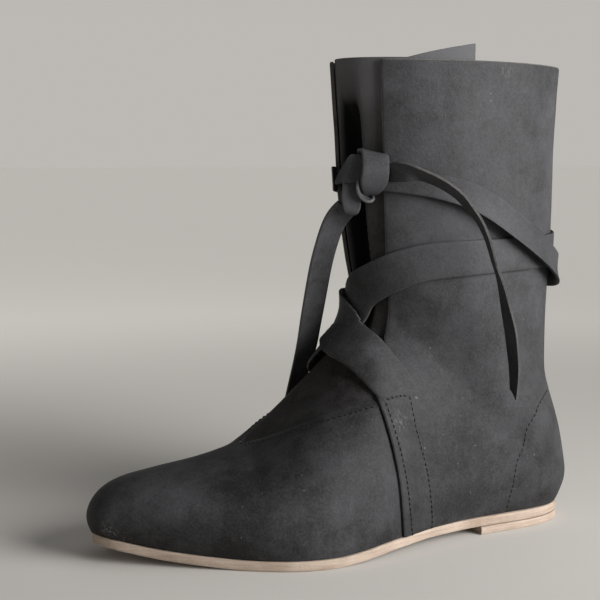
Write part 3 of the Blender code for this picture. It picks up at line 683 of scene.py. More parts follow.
def sole_under(x):
    """Height of the outsole's underside."""
    knots = column(UNDERSIDE, UNDERSIDE_COLUMNS, "x")
    return smooth_curve(knots, column(UNDERSIDE, UNDERSIDE_COLUMNS, "height"), x)


def feather_height(x):
    """Lower edge of the upper, just over the sole."""
    return sole_under(x) + SOLE_THICK + GAP


def heel_cup(point):
    """Rounds the heel: near it, points move out to a cup that follows the sole's outline."""
    x, y, z = np.moveaxis(point, -1, 0)
    turn = np.linspace(0, np.pi / 2, HEEL_CUP_POINTS)
    rim_x = HEEL_AXIS * (1 - np.cos(turn))
    rim_y = outline(rim_x)[0]
    angle = np.arctan2(np.abs(y), HEEL_AXIS - x)
    sole = np.interp(angle, np.arctan2(rim_y, HEEL_AXIS - rim_x), np.hypot(rim_y, HEEL_AXIS - rim_x))
    level = np.clip((z - feather_height(0.0)) / HEEL_CUP_STEP, 0, len(HEEL_CUP) - 1)
    cup_columns = [column(HEEL_CUP, HEEL_CUP_COLUMNS, name) for name in HEEL_CUP_COLUMNS]
    back, sides = [even_spline(values, level) for values in cup_columns]
    radius = sole + back * np.cos(angle) ** 2 + sides * np.sin(angle) ** 2
    cup = np.stack([HEEL_AXIS - radius * np.cos(angle), np.sign(y) * radius * np.sin(angle), z], -1)
    near, far = HEEL_CUP_AHEAD
    low, high = HEEL_CUP_ABOVE
    share = ease((far - x) / (far - near)) * ease((high - z) / (high - low))
    return point + (cup - point) * share[..., None]


def last_point(station, side):
    """Outer face of the upper. Side runs from 1 (lateral) over 0 (crest) to -1 (medial)."""
    station, side = np.broadcast_arrays(np.asarray(station, float), np.asarray(side, float))
    side = np.where(np.abs(side) > 1, (side + 1) % 2 - 1, side)
    at = {name: even_spline(column(SECTIONS, SECTION_COLUMNS, name), station) for name in SECTION_COLUMNS}
    lateral, medial = outline(np.clip(at["base_x"], 0, SOLE_LENGTH))
    inset = FEATHER_INSET * ease((lateral - medial) / NARROW_SOLE)
    foot = np.where(side >= 0, lateral - inset, medial + inset) * (station < HEEL_BACK)
    widest = np.where(side >= 0, at["lateral"], at["medial"])
    base_z = feather_height(at["base_x"]) + np.maximum(at["rise"], 0)
    closed = np.clip(at["closed"], 0, 1)
    belly = at["belly"]
    around = np.abs(side) * 2
    turn = np.clip(around, 0, 1) * np.pi / 2
    drop = np.sin(np.clip(around - 1, 0, 1) * np.pi / 2)
    tuck = (1 - closed) * drop ** 2 + closed * (1 - np.sqrt(np.clip(1 - drop ** 2, 0, 1)))
    over = around <= 1
    over_y = at["crest_y"] + (widest - at["crest_y"]) * np.sin(turn)
    y = np.where(over, over_y, widest + (foot - widest) * tuck)
    way = np.where(over, belly + (1 - belly) * np.cos(turn), belly * (1 - drop))
    x = at["base_x"] + (at["crest_x"] - at["base_x"]) * way
    z = base_z + (at["crest_z"] - base_z) * way
    return heel_cup(np.stack([x, y, z], -1))


def last_frame(station, side):
    """Point of the last with its two tangents and outward normal."""
    low = np.maximum(station - TANGENT_STEP, 0)
    high = station + TANGENT_STEP
    along = (last_point(high, side) - last_point(low, side)) / (high - low)[..., None]
    limit = np.where(station < HEEL_BACK, 1.0, np.inf)
    right = np.clip(side - TANGENT_STEP, -limit, limit)
    left = np.clip(side + TANGENT_STEP, -limit, limit)
    across = (last_point(station, left) - last_point(station, right)) / (left - right)[..., None]
    return last_point(station, side), along, across, unit(np.cross(across, along))


def quarter_raise(station):
    """How far the quarter stands over the vamp that it overlaps, with a worn front edge."""
    back = station - QUARTER_EDGE
    step = QUARTER_STEP * (1 - ease(back / QUARTER_FADE))
    worn = EDGE_WEAR * (1 - ease(back / EDGE_WEAR_REACH))
    groove = -SEAM_GROOVE * (1 - ease(-back / SEAM_GROOVE_REACH))
    return np.where(back > 0, step - worn, groove)


def offset_point(station, side, height):
    """Point at a height over the last."""
    point, _, _, normal = last_frame(station, side)
    return point + normal * np.asarray(height)[..., None]


def throat_edge(station, side):
    """Side coordinate of the throat's edge."""
    knots = column(THROAT, THROAT_COLUMNS, "station")
    return smooth_curve(knots, column(THROAT, THROAT_COLUMNS, side), station)


def relief(points):
    """Height of creases and unevenness at places on the last."""
    flat = points.reshape(-1, 3)
    height = np.zeros(len(flat))
    share = np.linspace(0, 1, CREASE_POINTS)
    fade = np.sqrt(np.sin(np.pi * np.clip(share, CREASE_FADED, 1 - CREASE_FADED)))
    for row in CREASES:
        crease = dict(zip(CREASE_COLUMNS, row))
        station = np.linspace(crease["from_station"], crease["to_station"], CREASE_POINTS)
        route = last_point(station, np.linspace(crease["from_side"], crease["to_side"], CREASE_POINTS))
        reach = np.linalg.norm(route[0] - route[-1]) + CREASE_REACH * crease["width"]
        near = np.linalg.norm(flat - route[CREASE_POINTS // 2], axis=1) < reach
        gap = np.linalg.norm(flat[near, None] - route[None], axis=2)
        shape = np.exp(-(gap / crease["width"]) ** 2) * fade
        height[near] -= crease["depth"] * shape.max(axis=1)
    for size, swell in HIDE_WAVES:
        height += swell * np.array([noise.noise(Vector(point) / size) for point in flat])
    return height.reshape(points.shape[:-1])


def quads(rows, columns, start=0, flip=False):
    """Faces of a grid of points."""
    row, across = np.meshgrid(np.arange(rows - 1), np.arange(columns - 1), indexing="ij")
    corner = (start + row * columns + across).ravel()
    faces = np.stack([corner, corner + 1, corner + columns + 1, corner + columns], -1)
    return faces[:, ::-1] if flip else faces


def border(rows, columns):
    """Indices round the rim of a grid."""
    grid = np.arange(rows * columns).reshape(rows, columns)
    return np.concatenate([grid[0], grid[1:, -1], grid[-1, -2::-1], grid[-2:0:-1, 0]])


def add_piece(name, shape, finishes, replaces=True, paint=None):
    """Mesh of points, faces and finish numbers as a piece in the frame, welded and riding on the boot."""
    points, faces, numbers = shape
    mesh = bpy.data.meshes.new(name)
    mesh.from_pydata(world(points).tolist(), [], faces if isinstance(faces, list) else faces.tolist())
    for finish in finishes:
        mesh.materials.append(finish)
    mesh.polygons.foreach_set("material_index", np.asarray(numbers, np.int32))
    if paint is not None:
        layer = mesh.attributes.new("shade", "FLOAT", "POINT")
        layer.data.foreach_set("value", np.asarray(paint, np.float32).ravel())
    build = bmesh.new()
    build.from_mesh(mesh)
    bmesh.ops.remove_doubles(build, verts=build.verts, dist=WELD)
    bmesh.ops.recalc_face_normals(build, faces=build.faces)
    build.to_mesh(mesh)
    build.free()
    mesh.shade_smooth()
    mesh.set_sharp_from_angle(angle=SMOOTH_BEND)
    piece = bpy.data.objects.new(name, mesh)
    bpy.context.scene.collection.objects.link(piece)
    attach(piece, "root")
    if replaces:
        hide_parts(name)
    return piece


def sheet(grid, flip=False):
    """Grid of points as a mesh in the first finish."""
    faces = quads(*grid.shape[:2], flip=flip)
    return grid.reshape(-1, 3), faces, np.zeros(len(faces), int)


def join(shapes):
    """Several meshes as one."""
    starts = np.cumsum([0] + [len(points) for points, _, _ in shapes])
    points = np.concatenate([points for points, _, _ in shapes])
    faces = np.concatenate([faces + start for (_, faces, _), start in zip(shapes, starts)])
    return points, faces, np.concatenate([numbers for _, _, numbers in shapes])


def wall(outer, inner, edge_columns=1):
    """Closed wall between two grids. Its rim, and the last columns before it, are cut edge."""
    rows, columns = outer.shape[:2]
    size = rows * columns
    points = np.concatenate([outer.reshape(-1, 3), inner.reshape(-1, 3)])
    rim = border(rows, columns)
    after = np.roll(rim, -1)
    rim_faces = np.stack([after, rim, rim + size, after + size], -1)
    faces = np.concatenate([quads(rows, columns), quads(rows, columns, size, flip=True), rim_faces])
    strip = np.zeros((rows - 1, columns - 1), int)
    strip[:, :edge_columns] = 1
    strip[:, columns - 1 - edge_columns:] = 1
    numbers = np.concatenate([strip.ravel(), strip.ravel(), np.ones(len(rim_faces), int)])
    return points, faces, numbers


def band_columns(width):
    """Places across a band, and the share of its half thickness there."""
    inset = np.array([place for place, _ in BAND_EDGE])
    share = np.array([value for _, value in BAND_EDGE])
    half = np.asarray(width)[:, None] / 2
    middle = (half - inset[-1]) * np.linspace(-1, 1, BAND_MIDDLE + 2)[None, 1:-1]
    across = np.concatenate([-half + inset, middle, (half - inset[::-1])], axis=1)
    thick = np.concatenate([share, np.ones(BAND_MIDDLE), share[::-1]])
    return across, thick


def band(grid, thick, shade_black_rings=()):
    """Closed band of leather round a grid of its middle. Its rounded edges are pale save on some rings,
    which are painted black as shade.
    """
    along = np.gradient(grid, axis=0)
    across = np.gradient(grid, axis=1)
    normal = unit(np.cross(along, across))
    height = (STRAP_THICK / 2 * thick)[None, :, None]
    points, faces, numbers = wall(grid + normal * height, grid - normal * height, edge_columns=0)
    rows, columns = grid.shape[:2]
    ring = faces % (rows * columns) // columns
    for first, last in shade_black_rings:
        numbers[((ring >= first) & (ring <= last)).all(axis=1)] = 0
    return points, faces, numbers


def view_axes():
    """Right, up and forward of the camera."""
    yaw, pitch = np.radians([CAMERA_YAW, CAMERA_PITCH])
    forward = Vector((np.cos(yaw) * np.cos(pitch), np.sin(yaw) * np.cos(pitch), np.sin(pitch)))
    right = forward.cross(Vector((0, 0, 1))).normalized()
    return right, right.cross(forward), forward


def add_camera():
    """Camera at the photo's place and angle."""
    data = bpy.data.cameras.new("camera")
    data.sensor_width = SENSOR
    data.lens = CAMERA_FOCAL / PHOTO_SIDE * SENSOR
    data.clip_start = CAMERA_CLIP
    camera = bpy.data.objects.new("camera", data)
    camera.location = world(CAMERA_PLACE)
    camera.rotation_euler = view_axes()[2].to_track_quat("-Z", "Y").to_euler()
    bpy.context.scene.collection.objects.link(camera)
    bpy.context.scene.camera = camera


def add_light(data, way):
    """Light that shines from a direction."""
    light = bpy.data.objects.new(data.name, data)
    light.rotation_euler = way.to_track_quat("Z", "Y").to_euler()
    bpy.context.scene.collection.objects.link(light)
    return light


def add_lights():
    """Soft studio light, strongest from the camera's right."""
    right, _, forward = view_axes()
    near = -Vector((forward.x, forward.y, 0)).normalized()
    for number, row in enumerate(LIGHTS):
        light = dict(zip(LIGHT_COLUMNS, row))
        data = bpy.data.lights.new(f"soft_light_{number}", "SUN")
        data.energy = light["strength"]
        data.angle = np.radians(light["wide"])
        data.color = light["colour"]
        add_light(data, right * light["right"] + near * light["near"] + Vector((0, 0, light["up"])))
    data = bpy.data.lights.new("near_lamp", "AREA")
    data.shape = "DISK"
    data.size = LAMP_SIZE
    data.energy = LAMP_POWER
    data.spread = np.radians(LAMP_SPREAD)
    place = right * LAMP_RIGHT + near * LAMP_NEAR + Vector((0, 0, LAMP_UP))
    lamp = add_light(data, place - Vector(LAMP_TARGET))
    lamp.location = place
    lamp.visible_camera = False
    bpy.context.scene.view_settings.view_transform = "Standard"


def add_node(tree, kind, output, inputs, **settings):
    """One output of a new shader node, whose inputs are fixed values or other nodes' outputs."""
    node = tree.nodes.new("ShaderNode" + kind)
    for name, value in settings.items():
        setattr(node, name, value)
    for key, value in inputs.items():
        if isinstance(value, bpy.types.NodeSocket):
            tree.links.new(value, node.inputs[key])
        else:
            node.inputs[key].default_value = value
    return node.outputs[output]


def soft_span(tree, value, low, high, top):
    """Value as a soft rise from 0 to a top between two limits."""
    inputs = {"Value": value, "From Min": low, "From Max": high, "To Max": top}
    return add_node(tree, "MapRange", "Result", inputs, interpolation_type="SMOOTHSTEP")


def mix_colours(tree, share, first, second):
    """Colour between two, either of which may be a fixed colour."""
    first, second = [(*colour, 1) if isinstance(colour, tuple) else colour for colour in (first, second)]
    inputs = {"Factor": share, MIX_FIRST: first, MIX_SECOND: second}
    return add_node(tree, "Mix", MIX_RESULT, inputs, data_type="RGBA")


def add_sky():
    """Surroundings that are pale low down, for an even backdrop, and dark overhead."""
    sky = bpy.data.worlds.new("studio")
    sky.use_nodes = True
    tree = sky.node_tree
    place = add_node(tree, "TexCoord", "Generated", {})
    height = add_node(tree, "SeparateXYZ", "Z", {"Vector": place})
    share = soft_span(tree, height, SKY_PALE_UP_TO, SKY_DARK_FROM, 1.0)
    colour = mix_colours(tree, share, SKY_PALE, SKY_DARK)
    tree.links.new(colour, tree.nodes["Background"].inputs["Color"])
    bpy.context.scene.world = sky


def add_floor():
    """Plain pale floor, which glows more and more away from the boot: painted light that blends it into the
    backdrop.
    """
    bpy.ops.mesh.primitive_plane_add(size=FLOOR_SIDE)
    floor = bpy.context.object
    floor.name = "floor"
    material = bpy.data.materials.new("floor")
    material.use_nodes = True
    tree = material.node_tree
    shader = tree.nodes["Principled BSDF"]
    shader.inputs["Base Color"].default_value = (*FLOOR_COLOUR, 1)
    shader.inputs["Emission Color"].default_value = (*FLOOR_COLOUR, 1)
    shader.inputs["Roughness"].default_value = FLOOR_ROUGHNESS
    shader.inputs["Specular IOR Level"].default_value = FLOOR_GLOSS
    place = add_node(tree, "TexCoord", "Object", {})
    away = add_node(tree, "VectorMath", "Value", {0: place}, operation="LENGTH")
    tree.links.new(soft_span(tree, away, GLOW_FROM, GLOW_TO, GLOW), shader.inputs["Emission Strength"])
    floor.data.materials.append(material)


class Finish:
    """Material that is put together step by step."""

    def __init__(self, name, gloss):
        self.material = bpy.data.materials.new(name)
        self.material.use_nodes = True
        self.tree = self.material.node_tree
        self.shader = self.tree.nodes["Principled BSDF"]
        self.shader.inputs["Specular IOR Level"].default_value = gloss
        self.place = add_node(self.tree, "TexCoord", "Object", {})

    def scaled_place(self, size, stretch):
        """Place counted in steps of a size in metres."""
        scale = [value / size for value in stretch]
        return add_node(self.tree, "Mapping", "Vector", {"Vector": self.place, "Scale": scale})

    def noise(self, size, detail, stretch=EVEN):
        """Noise whose features are about size metres."""
        inputs = {"Vector": self.scaled_place(size, stretch), "Scale": 1.0, "Detail": detail}
        return add_node(self.tree, "TexNoise", "Fac", inputs)

    def cells(self, size):
        """Distance to the middles of small cells, for pebbled grain."""
        inputs = {"Vector": self.scaled_place(size, EVEN), "Scale": 1.0}
        return add_node(self.tree, "TexVoronoi", "Distance", inputs)

    def height(self):
        """Height over the floor, in metres."""
        return add_node(self.tree, "SeparateXYZ", "Z", {"Vector": self.place})

    def near(self, place, reach):
        """1 at a place, falling to 0 at its reach, in metres."""
        away = add_node(self.tree, "VectorMath", "Value", {0: self.place, 1: place}, operation="DISTANCE")
        return self.span(away, 0.0, reach, 1.0, 0.0)

    def painted(self, name):
        """Value painted on the mesh, held between 0 and 1."""
        return self.span(add_node(self.tree, "Attribute", "Fac", {}, attribute_name=name), 0.0, 1.0)

    def span(self, value, low, high, out_low=0.0, out_high=1.0):
        """Value moved from one span to another, held at its ends."""
        inputs = {"Value": value, "From Min": low, "From Max": high, "To Min": out_low, "To Max": out_high}
        return add_node(self.tree, "MapRange", "Result", inputs)

    def sum(self, *weighted):
        """Sum of values, each times its weight."""
        total = 0.0
        for value, weight in weighted:
            inputs = {0: value, 1: weight, 2: total}
            total = add_node(self.tree, "Math", "Value", inputs, operation="MULTIPLY_ADD")
        return total

    def times(self, first, second, weight):
        """Product of two values and a weight."""
        product = add_node(self.tree, "Math", "Value", {0: first, 1: second}, operation="MULTIPLY")
        return self.sum((product, weight))

    def mix(self, share, first, second):
        """Colour between two, either of which may be a fixed colour."""
        return mix_colours(self.tree, share, first, second)

    def patterns(self, table):
        """Noises of a table by their names, and their spans with the weights that they have in the tone."""
        noises = {}
        spans = []
        for row in table:
            pattern = dict(zip(PATTERN_COLUMNS, row))
            field = self.noise(pattern["size"], pattern["detail"], pattern["stretch"])
            noises[pattern["name"]] = field
            spans.append((self.span(field, pattern["low"], pattern["high"]), pattern["weight"]))
        return noises, spans

    def done(self, colour, bump, depth, roughness):
        """The material, with colour, bump and a fixed or varied roughness."""
        self.tree.links.new(colour, self.shader.inputs["Base Color"])
        inputs = {"Height": bump, "Distance": depth, "Strength": 1.0}
        self.tree.links.new(add_node(self.tree, "Bump", "Normal", inputs), self.shader.inputs["Normal"])
        if isinstance(roughness, float):
            self.shader.inputs["Roughness"].default_value = roughness
        else:
            self.tree.links.new(roughness, self.shader.inputs["Roughness"])
        return self.material


def black_leather(name, tones, gloss, light_and_shade_painted=False):
    """Matt oiled leather: cloudy tone, fine grain, streaks of rubbing, and painted shade that keeps it
    paler up the shaft.
    """
    finish = Finish(name, gloss)
    noises, spans = finish.patterns(BLACK_PATTERNS)
    # Painted shade: darker towards the floor, where less of the light falls
    for low, high, darker in DARK_STEPS:
        spans.append((finish.span(finish.height(), low, high, darker, 0.0), 1.0))
    colour = finish.mix(finish.sum(*spans), *tones)
    specks = finish.noise(SPECK_SIZE, SPECK_DETAIL)
    colour = finish.mix(finish.span(specks, *SPECK_SPAN), colour, DUST)
    scratch = finish.span(finish.noise(SCRATCH_SIZE, SCRATCH_DETAIL, SCRATCH_STRETCH), *SCRATCH_SPAN)
    for place, reach, strength in SCUFFS:
        colour = finish.mix(finish.times(finish.near(place, reach), scratch, strength), colour, DUST)
    if light_and_shade_painted:
        # Painted light on the tongue's top, then painted shade in its fold
        for low, high, strength in TONGUE_PAINTED_LIGHT_STEPS:
            painted_top_light = finish.span(finish.height(), low, high, 0.0, strength)
            colour = finish.mix(painted_top_light, colour, TONGUE_PAINTED_LIGHT)
        # Painted shade: the deeper the fold, the blacker its leather
        colour = finish.mix(finish.painted("shade"), colour, PAINTED_SHADE_BLACK)
    pores = finish.cells(PORE_SIZE)
    bump = finish.sum((noises["grain"], GRAIN_BUMP), (pores, PORE_BUMP), (noises["mottle"], MOTTLE_BUMP))
    roughness = finish.span(noises["blotch"], *BLACK_ROUGHNESS)
    return finish.done(colour, bump, BLACK_BUMP_DEPTH, roughness)


def fibrous(name, patterns, tones, surface, shade_black_above=False):
    """Fibrous finish between two tones, such as cut leather or waxed thread."""
    gloss, roughness, depth = surface
    finish = Finish(name, gloss)
    noises, spans = finish.patterns(patterns)
    colour = finish.mix(finish.sum(*spans), *tones)
    if shade_black_above:
        # Painted shade: the straps' edges turn black up round the ankle, over their shadowed gap
        black = finish.span(finish.height(), STRAP_EDGE_PALE, STRAP_EDGE_FULL_SHADE)
        colour = finish.mix(black, colour, PAINTED_SHADE_BLACK)
    return finish.done(colour, noises["fibre"], depth, roughness)


def sole_leather():
    """Pale raw sole leather: layered fibres round its cut edge, and dirt."""
    gloss, roughness, depth = SOLE_SURFACE
    finish = Finish("sole_leather", gloss)
    noises, spans = finish.patterns(SOLE_PATTERNS)
    colour = finish.mix(finish.sum(*spans), *SOLE_TONES)
    dirt = finish.span(finish.noise(DIRT_SIZE, DIRT_DETAIL), *DIRT_SPAN)
    colour = finish.mix(dirt, colour, SOLE_DIRT)
    bump = finish.sum(*[(noises[name], weight) for name, weight in SOLE_BUMPS])
    return finish.done(colour, bump, depth, roughness)


def tail_route(table):
    """Middle line, width direction and width along a hanging end."""
    x, y, z, width, face, tilt = table_curve(table, TAIL_COLUMNS, TAIL_RINGS)
    point = np.stack([x, y, z], -1)
    heading = np.gradient(point, axis=0)
    face = np.radians(face)
    tilt = np.radians(tilt)
    facing = np.stack([np.cos(face) * np.cos(tilt), np.sin(face) * np.cos(tilt), np.sin(tilt)], -1)
    return point, unit(np.cross(heading, facing)), width


def add_tail(name, table, finishes, slant):
    """Hanging strap end, a free flat cord with a slanted tip: the piece, its path and its length."""
    point, wide, width = tail_route(table)
    across, thick = band_columns(width)
    heading = unit(np.gradient(point, axis=0))
    facing = unit(np.cross(wide, heading))
    share = across / (width / 2)[:, None]
    near_tip = ease((np.arange(TAIL_RINGS) / TAIL_RINGS - TIP_FROM) / (1 - TIP_FROM))
    grid = point[:, None] + wide[:, None] * across[..., None]
    grid = grid + facing[:, None] * (TAIL_CUP * share ** 2)[..., None]
    grid = grid + heading[:, None] * (near_tip[:, None] * share * slant)[..., None]
    # Edges next to the knot painted black as shade
    shape = band(grid, thick, [(0, TAIL_SHADE_RINGS)])
    piece = add_piece(name, shape, finishes)
    # The broad light of the photo leaves no shadow of the ends on the shaft
    piece.visible_shadow = False
    length = np.linalg.norm(np.diff(point, axis=0), axis=1).sum() * MM
    return piece, world(point), length


def knot_frame():
    """Seat of the knot on the last, with right, up and out as the camera sees them."""
    seat = last_point(np.array([KNOT_STATION]), np.array([KNOT_SIDE]))[0]
    right, up, forward = [np.array(way) for way in view_axes()]
    return seat, right, up, -forward


def knot_turn(table, pale_rings):
    """Turn of strap between its two edge lines, which are pale as far as a ring; past it, and on its first
    ring, the edges are painted black as shade.
    """
    seat, right, up, out = knot_frame()
    values = table_curve(table, EDGE_COLUMNS, KNOT_RINGS)
    edges = []
    for across, over, away in (values[:3], values[3:]):
        edges.append(seat + right * across[:, None] + up * over[:, None] + out * away[:, None])
    first, second = edges
    width = np.linalg.norm(second - first, axis=1)
    across, thick = band_columns(width)
    share = across / width[:, None] + 0.5
    grid = first[:, None] + (second - first)[:, None] * share[..., None]
    return band(grid, thick, [(0, 0), (pale_rings, KNOT_RINGS - 1)])


def knot_core():
    """Rounded inside of the knot."""
    seat, right, up, out = knot_frame()
    across, over, away, tall, deep = table_curve(KNOT_CORE, KNOT_CORE_COLUMNS, KNOT_RINGS)
    turn = np.linspace(0, 2 * np.pi, KNOT_CORE_SIDES + 1)
    over = over[:, None] + tall[:, None] * np.cos(turn)
    away = away[:, None] + deep[:, None] * np.sin(turn)
    points = seat + right * across[:, None, None] + up * over[..., None] + out * away[..., None]
    return sheet(points, flip=True)


def add_knot(finishes):
    """Tied knot: a wrapped band, its curled edge, a hanging loop and the strap that enters below."""
    turns = [knot_turn(table, KNOT_RINGS - 1) for table in (KNOT_WRAP, KNOT_CURL, KNOT_ENTRY)]
    turns += [knot_turn(KNOT_LOOP, LOOP_PALE_RINGS), knot_core()]
    return add_piece("knot", join(turns), finishes)


def across_strap(station, side, reach):
    """Places beside a route, found by short steps on the last at right angles to it."""
    heading = np.gradient(last_point(station, side), axis=0)
    station = station.copy()
    side = side.copy()
    for _ in range(STRAP_SIDE_STEPS):
        _, along, around, normal = last_frame(station, side)
        sideways = unit(np.cross(normal, heading))
        move = sideways * (reach / STRAP_SIDE_STEPS)[:, None]
        steps = np.linalg.pinv(np.stack([along, around], -1)) @ move[..., None]
        station += steps[:, 0, 0]
        side += steps[:, 1, 0]
    return station, side


def add_strap(name, table, finishes):
    """Strap wound on the upper, from its root in the quarter to the knot."""
    station, side, width, lift, left, right = table_curve(table, STRAP_COLUMNS, STRAP_RINGS)
    across, thick = band_columns(width)
    lift = np.clip(lift, LOWEST_LIFT, 1)
    rooted = 1 - ease((lift - ROOT_LIFT) / ROOT_BLEND)
    rows = []
    for reach in across.T:
        beside, beside_side = across_strap(station, side, reach)
        share = reach / width + 0.5
        seat = quarter_raise(np.maximum(beside, QUARTER_EDGE + EDGE_WEAR_REACH)) + STRAP_GAP
        seat = seat + lift * (STRAP_THICK + CROSSING_GAP)
        seat = seat + left * share ** EDGE_CURVE + right * (1 - share) ** EDGE_CURVE
        seat = seat + rooted * relief(last_point(beside, beside_side))
        rows.append(offset_point(beside, beside_side, seat + STRAP_THICK / 2))
    return add_piece(name, band(np.stack(rows, axis=1), thick), finishes)


def upper_stations():
    """Stations of the upper's rows, close together at the quarter's edge and the rim."""
    runs = [np.linspace(*stretch) for stretch in UPPER_STRETCHES]
    runs += [QUARTER_EDGE + np.array(EDGE_STATIONS), RIM + np.array(RIM_STATIONS)]
    return np.unique(np.concatenate(runs))


def upper_face(sign, side, stations):
    """Outer and inner face of one half of the upper, from sole or back seam to throat."""
    share = np.concatenate([np.linspace(0, EVEN_SHARE, UPPER_COLUMNS), EDGE_SHARES])
    drop = np.concatenate([np.zeros(UPPER_COLUMNS), EDGE_DROPS])
    edge = throat_edge(stations, side)
    station = np.repeat(stations[:, None], len(share), axis=1)
    across = sign * (1 + (edge[:, None] - 1) * share)
    open_front = (edge > 0)[:, None]
    rim_drop = np.interp(stations, RIM + np.array(RIM_ROUNDING), EDGE_DROPS)[:, None]
    on_last = last_point(station, across)
    steps = np.linalg.norm(np.diff(on_last, axis=1, append=on_last[:, -1:]), axis=-1)
    to_edge = np.cumsum(steps[:, ::-1], axis=1)[:, ::-1]
    vamp = open_front & (station < QUARTER_EDGE)
    skive = np.where(vamp, SKIVE * (1 - ease(to_edge / SKIVE_REACH)), 0)
    height = quarter_raise(station) - drop * (open_front & ~vamp) - rim_drop - skive
    outer = offset_point(station, across, height)
    swell = relief(on_last)
    swell *= ease((outer[..., 2] - feather_height(outer[..., 0])) / RELIEF_FADE)
    outer = outer + last_frame(station, across)[3] * swell[..., None]
    inside = station + TOE_WALL_SETBACK * np.exp(-station / TOE_WALL_FADE)
    inner = offset_point(inside, across, -WALL + RELIEF_INSIDE * swell)
    for face in (outer, inner):
        face[..., 2] = np.maximum(face[..., 2], feather_height(face[..., 0]) - GAP + SOLE_CLEARANCE)
    return outer, inner


def upper_half(sign, side, stations):
    """One half of the upper as a wall, with cut edges at throat and collar."""
    outer, inner = upper_face(sign, side, stations)
    open_front = throat_edge(stations, side) > 0
    open_under = stations < HEEL_BACK
    rows, columns = outer.shape[:2]
    size = rows * columns
    strip = np.zeros((rows - 1, columns - 1), int)
    strip[open_front[1:] & (stations[1:] > QUARTER_EDGE), -1:] = 1
    strip[-1] = 1
    faces = [quads(rows, columns), quads(rows, columns, size, flip=True)]
    numbers = [strip.ravel(), strip.ravel()]
    grid = np.arange(size).reshape(rows, columns)
    rims = [(grid[:, -1], open_front[1:]), (grid[:, 0], open_under[:-1])]
    rims += [(grid[row], np.ones(columns - 1, bool)) for row in (0, -1)]
    for line, shown in rims:
        here = line[:-1][shown]
        after = line[1:][shown]
        faces.append(np.stack([here, after, after + size, here + size], -1))
        numbers.append(np.ones(len(here), int))
    points = np.concatenate([outer.reshape(-1, 3), inner.reshape(-1, 3)])
    return points, np.concatenate(faces), np.concatenate(numbers)


def add_upper(finishes):
    """Vamp, quarters and shaft as one wall, open at collar, throat and sole."""
    stations = upper_stations()
    halves = [upper_half(sign, side, stations) for sign, side in ((1, "lateral"), (-1, "medial"))]
    return add_piece("upper", join(halves), finishes)


def add_tongue(finishes):
    """Wide tongue under the vamp and inside the shaft, with its upright fold."""
    knots, lateral, medial = [column(TONGUE, TONGUE_COLUMNS, name) for name in TONGUE_COLUMNS]
    fold_knots, fold_depth = [column(FOLD, FOLD_COLUMNS, name) for name in FOLD_COLUMNS]
    low_side = np.array(TONGUE_SIDE)
    share = np.concatenate([low_side, np.linspace(0, 1, TONGUE_ACROSS)[1:-1], 1 - low_side[::-1]])
    corner_rise = np.clip((share - TONGUE_SLANT) / (1 - TONGUE_SLANT), 0, 1)
    top = TONGUE_TOP_FRONT + (TONGUE_TOP_CORNER - TONGUE_TOP_FRONT) * corner_rise
    station = knots[0] + (top - knots[0]) * np.linspace(0, 1, TONGUE_ROWS)[:, None]
    lateral = smooth_curve(knots, lateral, station)
    medial = smooth_curve(knots, medial, station)
    side = -medial + (lateral + medial) * share
    depth = np.where(station > fold_knots[-1], 0, smooth_curve(fold_knots, fold_depth, station))
    reach = (side - FOLD_SIDE) / FOLD_HALF_WIDTH
    steep = np.where(reach > 0, FOLD_STEEP_LATERAL, FOLD_STEEP_MEDIAL)
    fold = depth * (1 - ease((np.abs(reach) - (1 - steep)) / steep))
    dent = np.minimum(TONGUE_RELIEF * relief(last_point(station, side)), 0)
    past_edge = np.abs(side) - throat_edge(station, "lateral")
    low, high = TONGUE_RISE_TO
    rise = TONGUE_RISE * (1 - ease(past_edge / TONGUE_RISE_UNDER)) * (station > TONGUE_RISE_FROM)
    rise = rise * (1 - ease((station - low) / (high - low)))
    height = dent - (WALL + TONGUE_GAP + fold - rise)
    outer = offset_point(station, side, height)
    inner = offset_point(station, side, height - TONGUE_THICK)
    # Painted shade, from the fold's depth
    shade = np.stack([fold / TONGUE_SHADE_DEPTH] * 2)
    return add_piece("tongue", wall(outer, inner), finishes, paint=shade)


def layer_edges(end, inset):
    """Lateral and medial edge of a layer from the heel to its end, set in from the sole's outline."""
    turn = np.linspace(0, np.pi, LAYER_STEPS)
    # At the heel's breast a layer is cut straight across, so its points bunch at the heel alone
    x = end * ((1 - np.cos(turn)) / 2 if end > HEEL_BREAST else 1 - np.cos(turn / 2))
    edges = []
    for values, way in zip(outline(np.clip(x, 0, SOLE_LENGTH)), (1, -1)):
        line = np.stack([x, values], -1)
        tangent = unit(np.gradient(line, axis=0) + np.array([TINY, 0]))
        normal = np.stack([-tangent[:, 1], tangent[:, 0]], -1) * way
        edges.append(line - normal * inset)
    return edges


def add_layer(name, end, inset, under, thick, finish):
    """Layer of leather on the sole's outline, with a rounded, slightly uneven side."""
    loops = []
    for step_in, share in LAYER_SIDE:
        lateral, medial = layer_edges(end, inset + step_in)
        flat = np.concatenate([lateral, medial[::-1]])
        places = [Vector((x / WOBBLE_SIZE, y / WOBBLE_SIZE, share * WOBBLE_UP)) for x, y in flat]
        wobble = SIDE_WOBBLE * np.array([noise.noise(place) for place in places])
        flat = flat + unit(flat - flat.mean(axis=0)) * wobble[:, None]
        height = under(flat[:, 0]) + thick * share
        loops.append(np.concatenate([flat, height[:, None]], axis=1))
    grid = np.stack(loops)
    shapes = [sheet(np.concatenate([grid, grid[:, :1]], axis=1))]
    share = np.linspace(0, 1, LAYER_ACROSS)[:, None]
    for loop in (grid[0], grid[-1]):
        lateral = loop[:LAYER_STEPS, None]
        medial = loop[LAYER_STEPS:, None][::-1]
        shapes.append(sheet(lateral + (medial - lateral) * share))
    return add_piece(name, join(shapes), [finish])


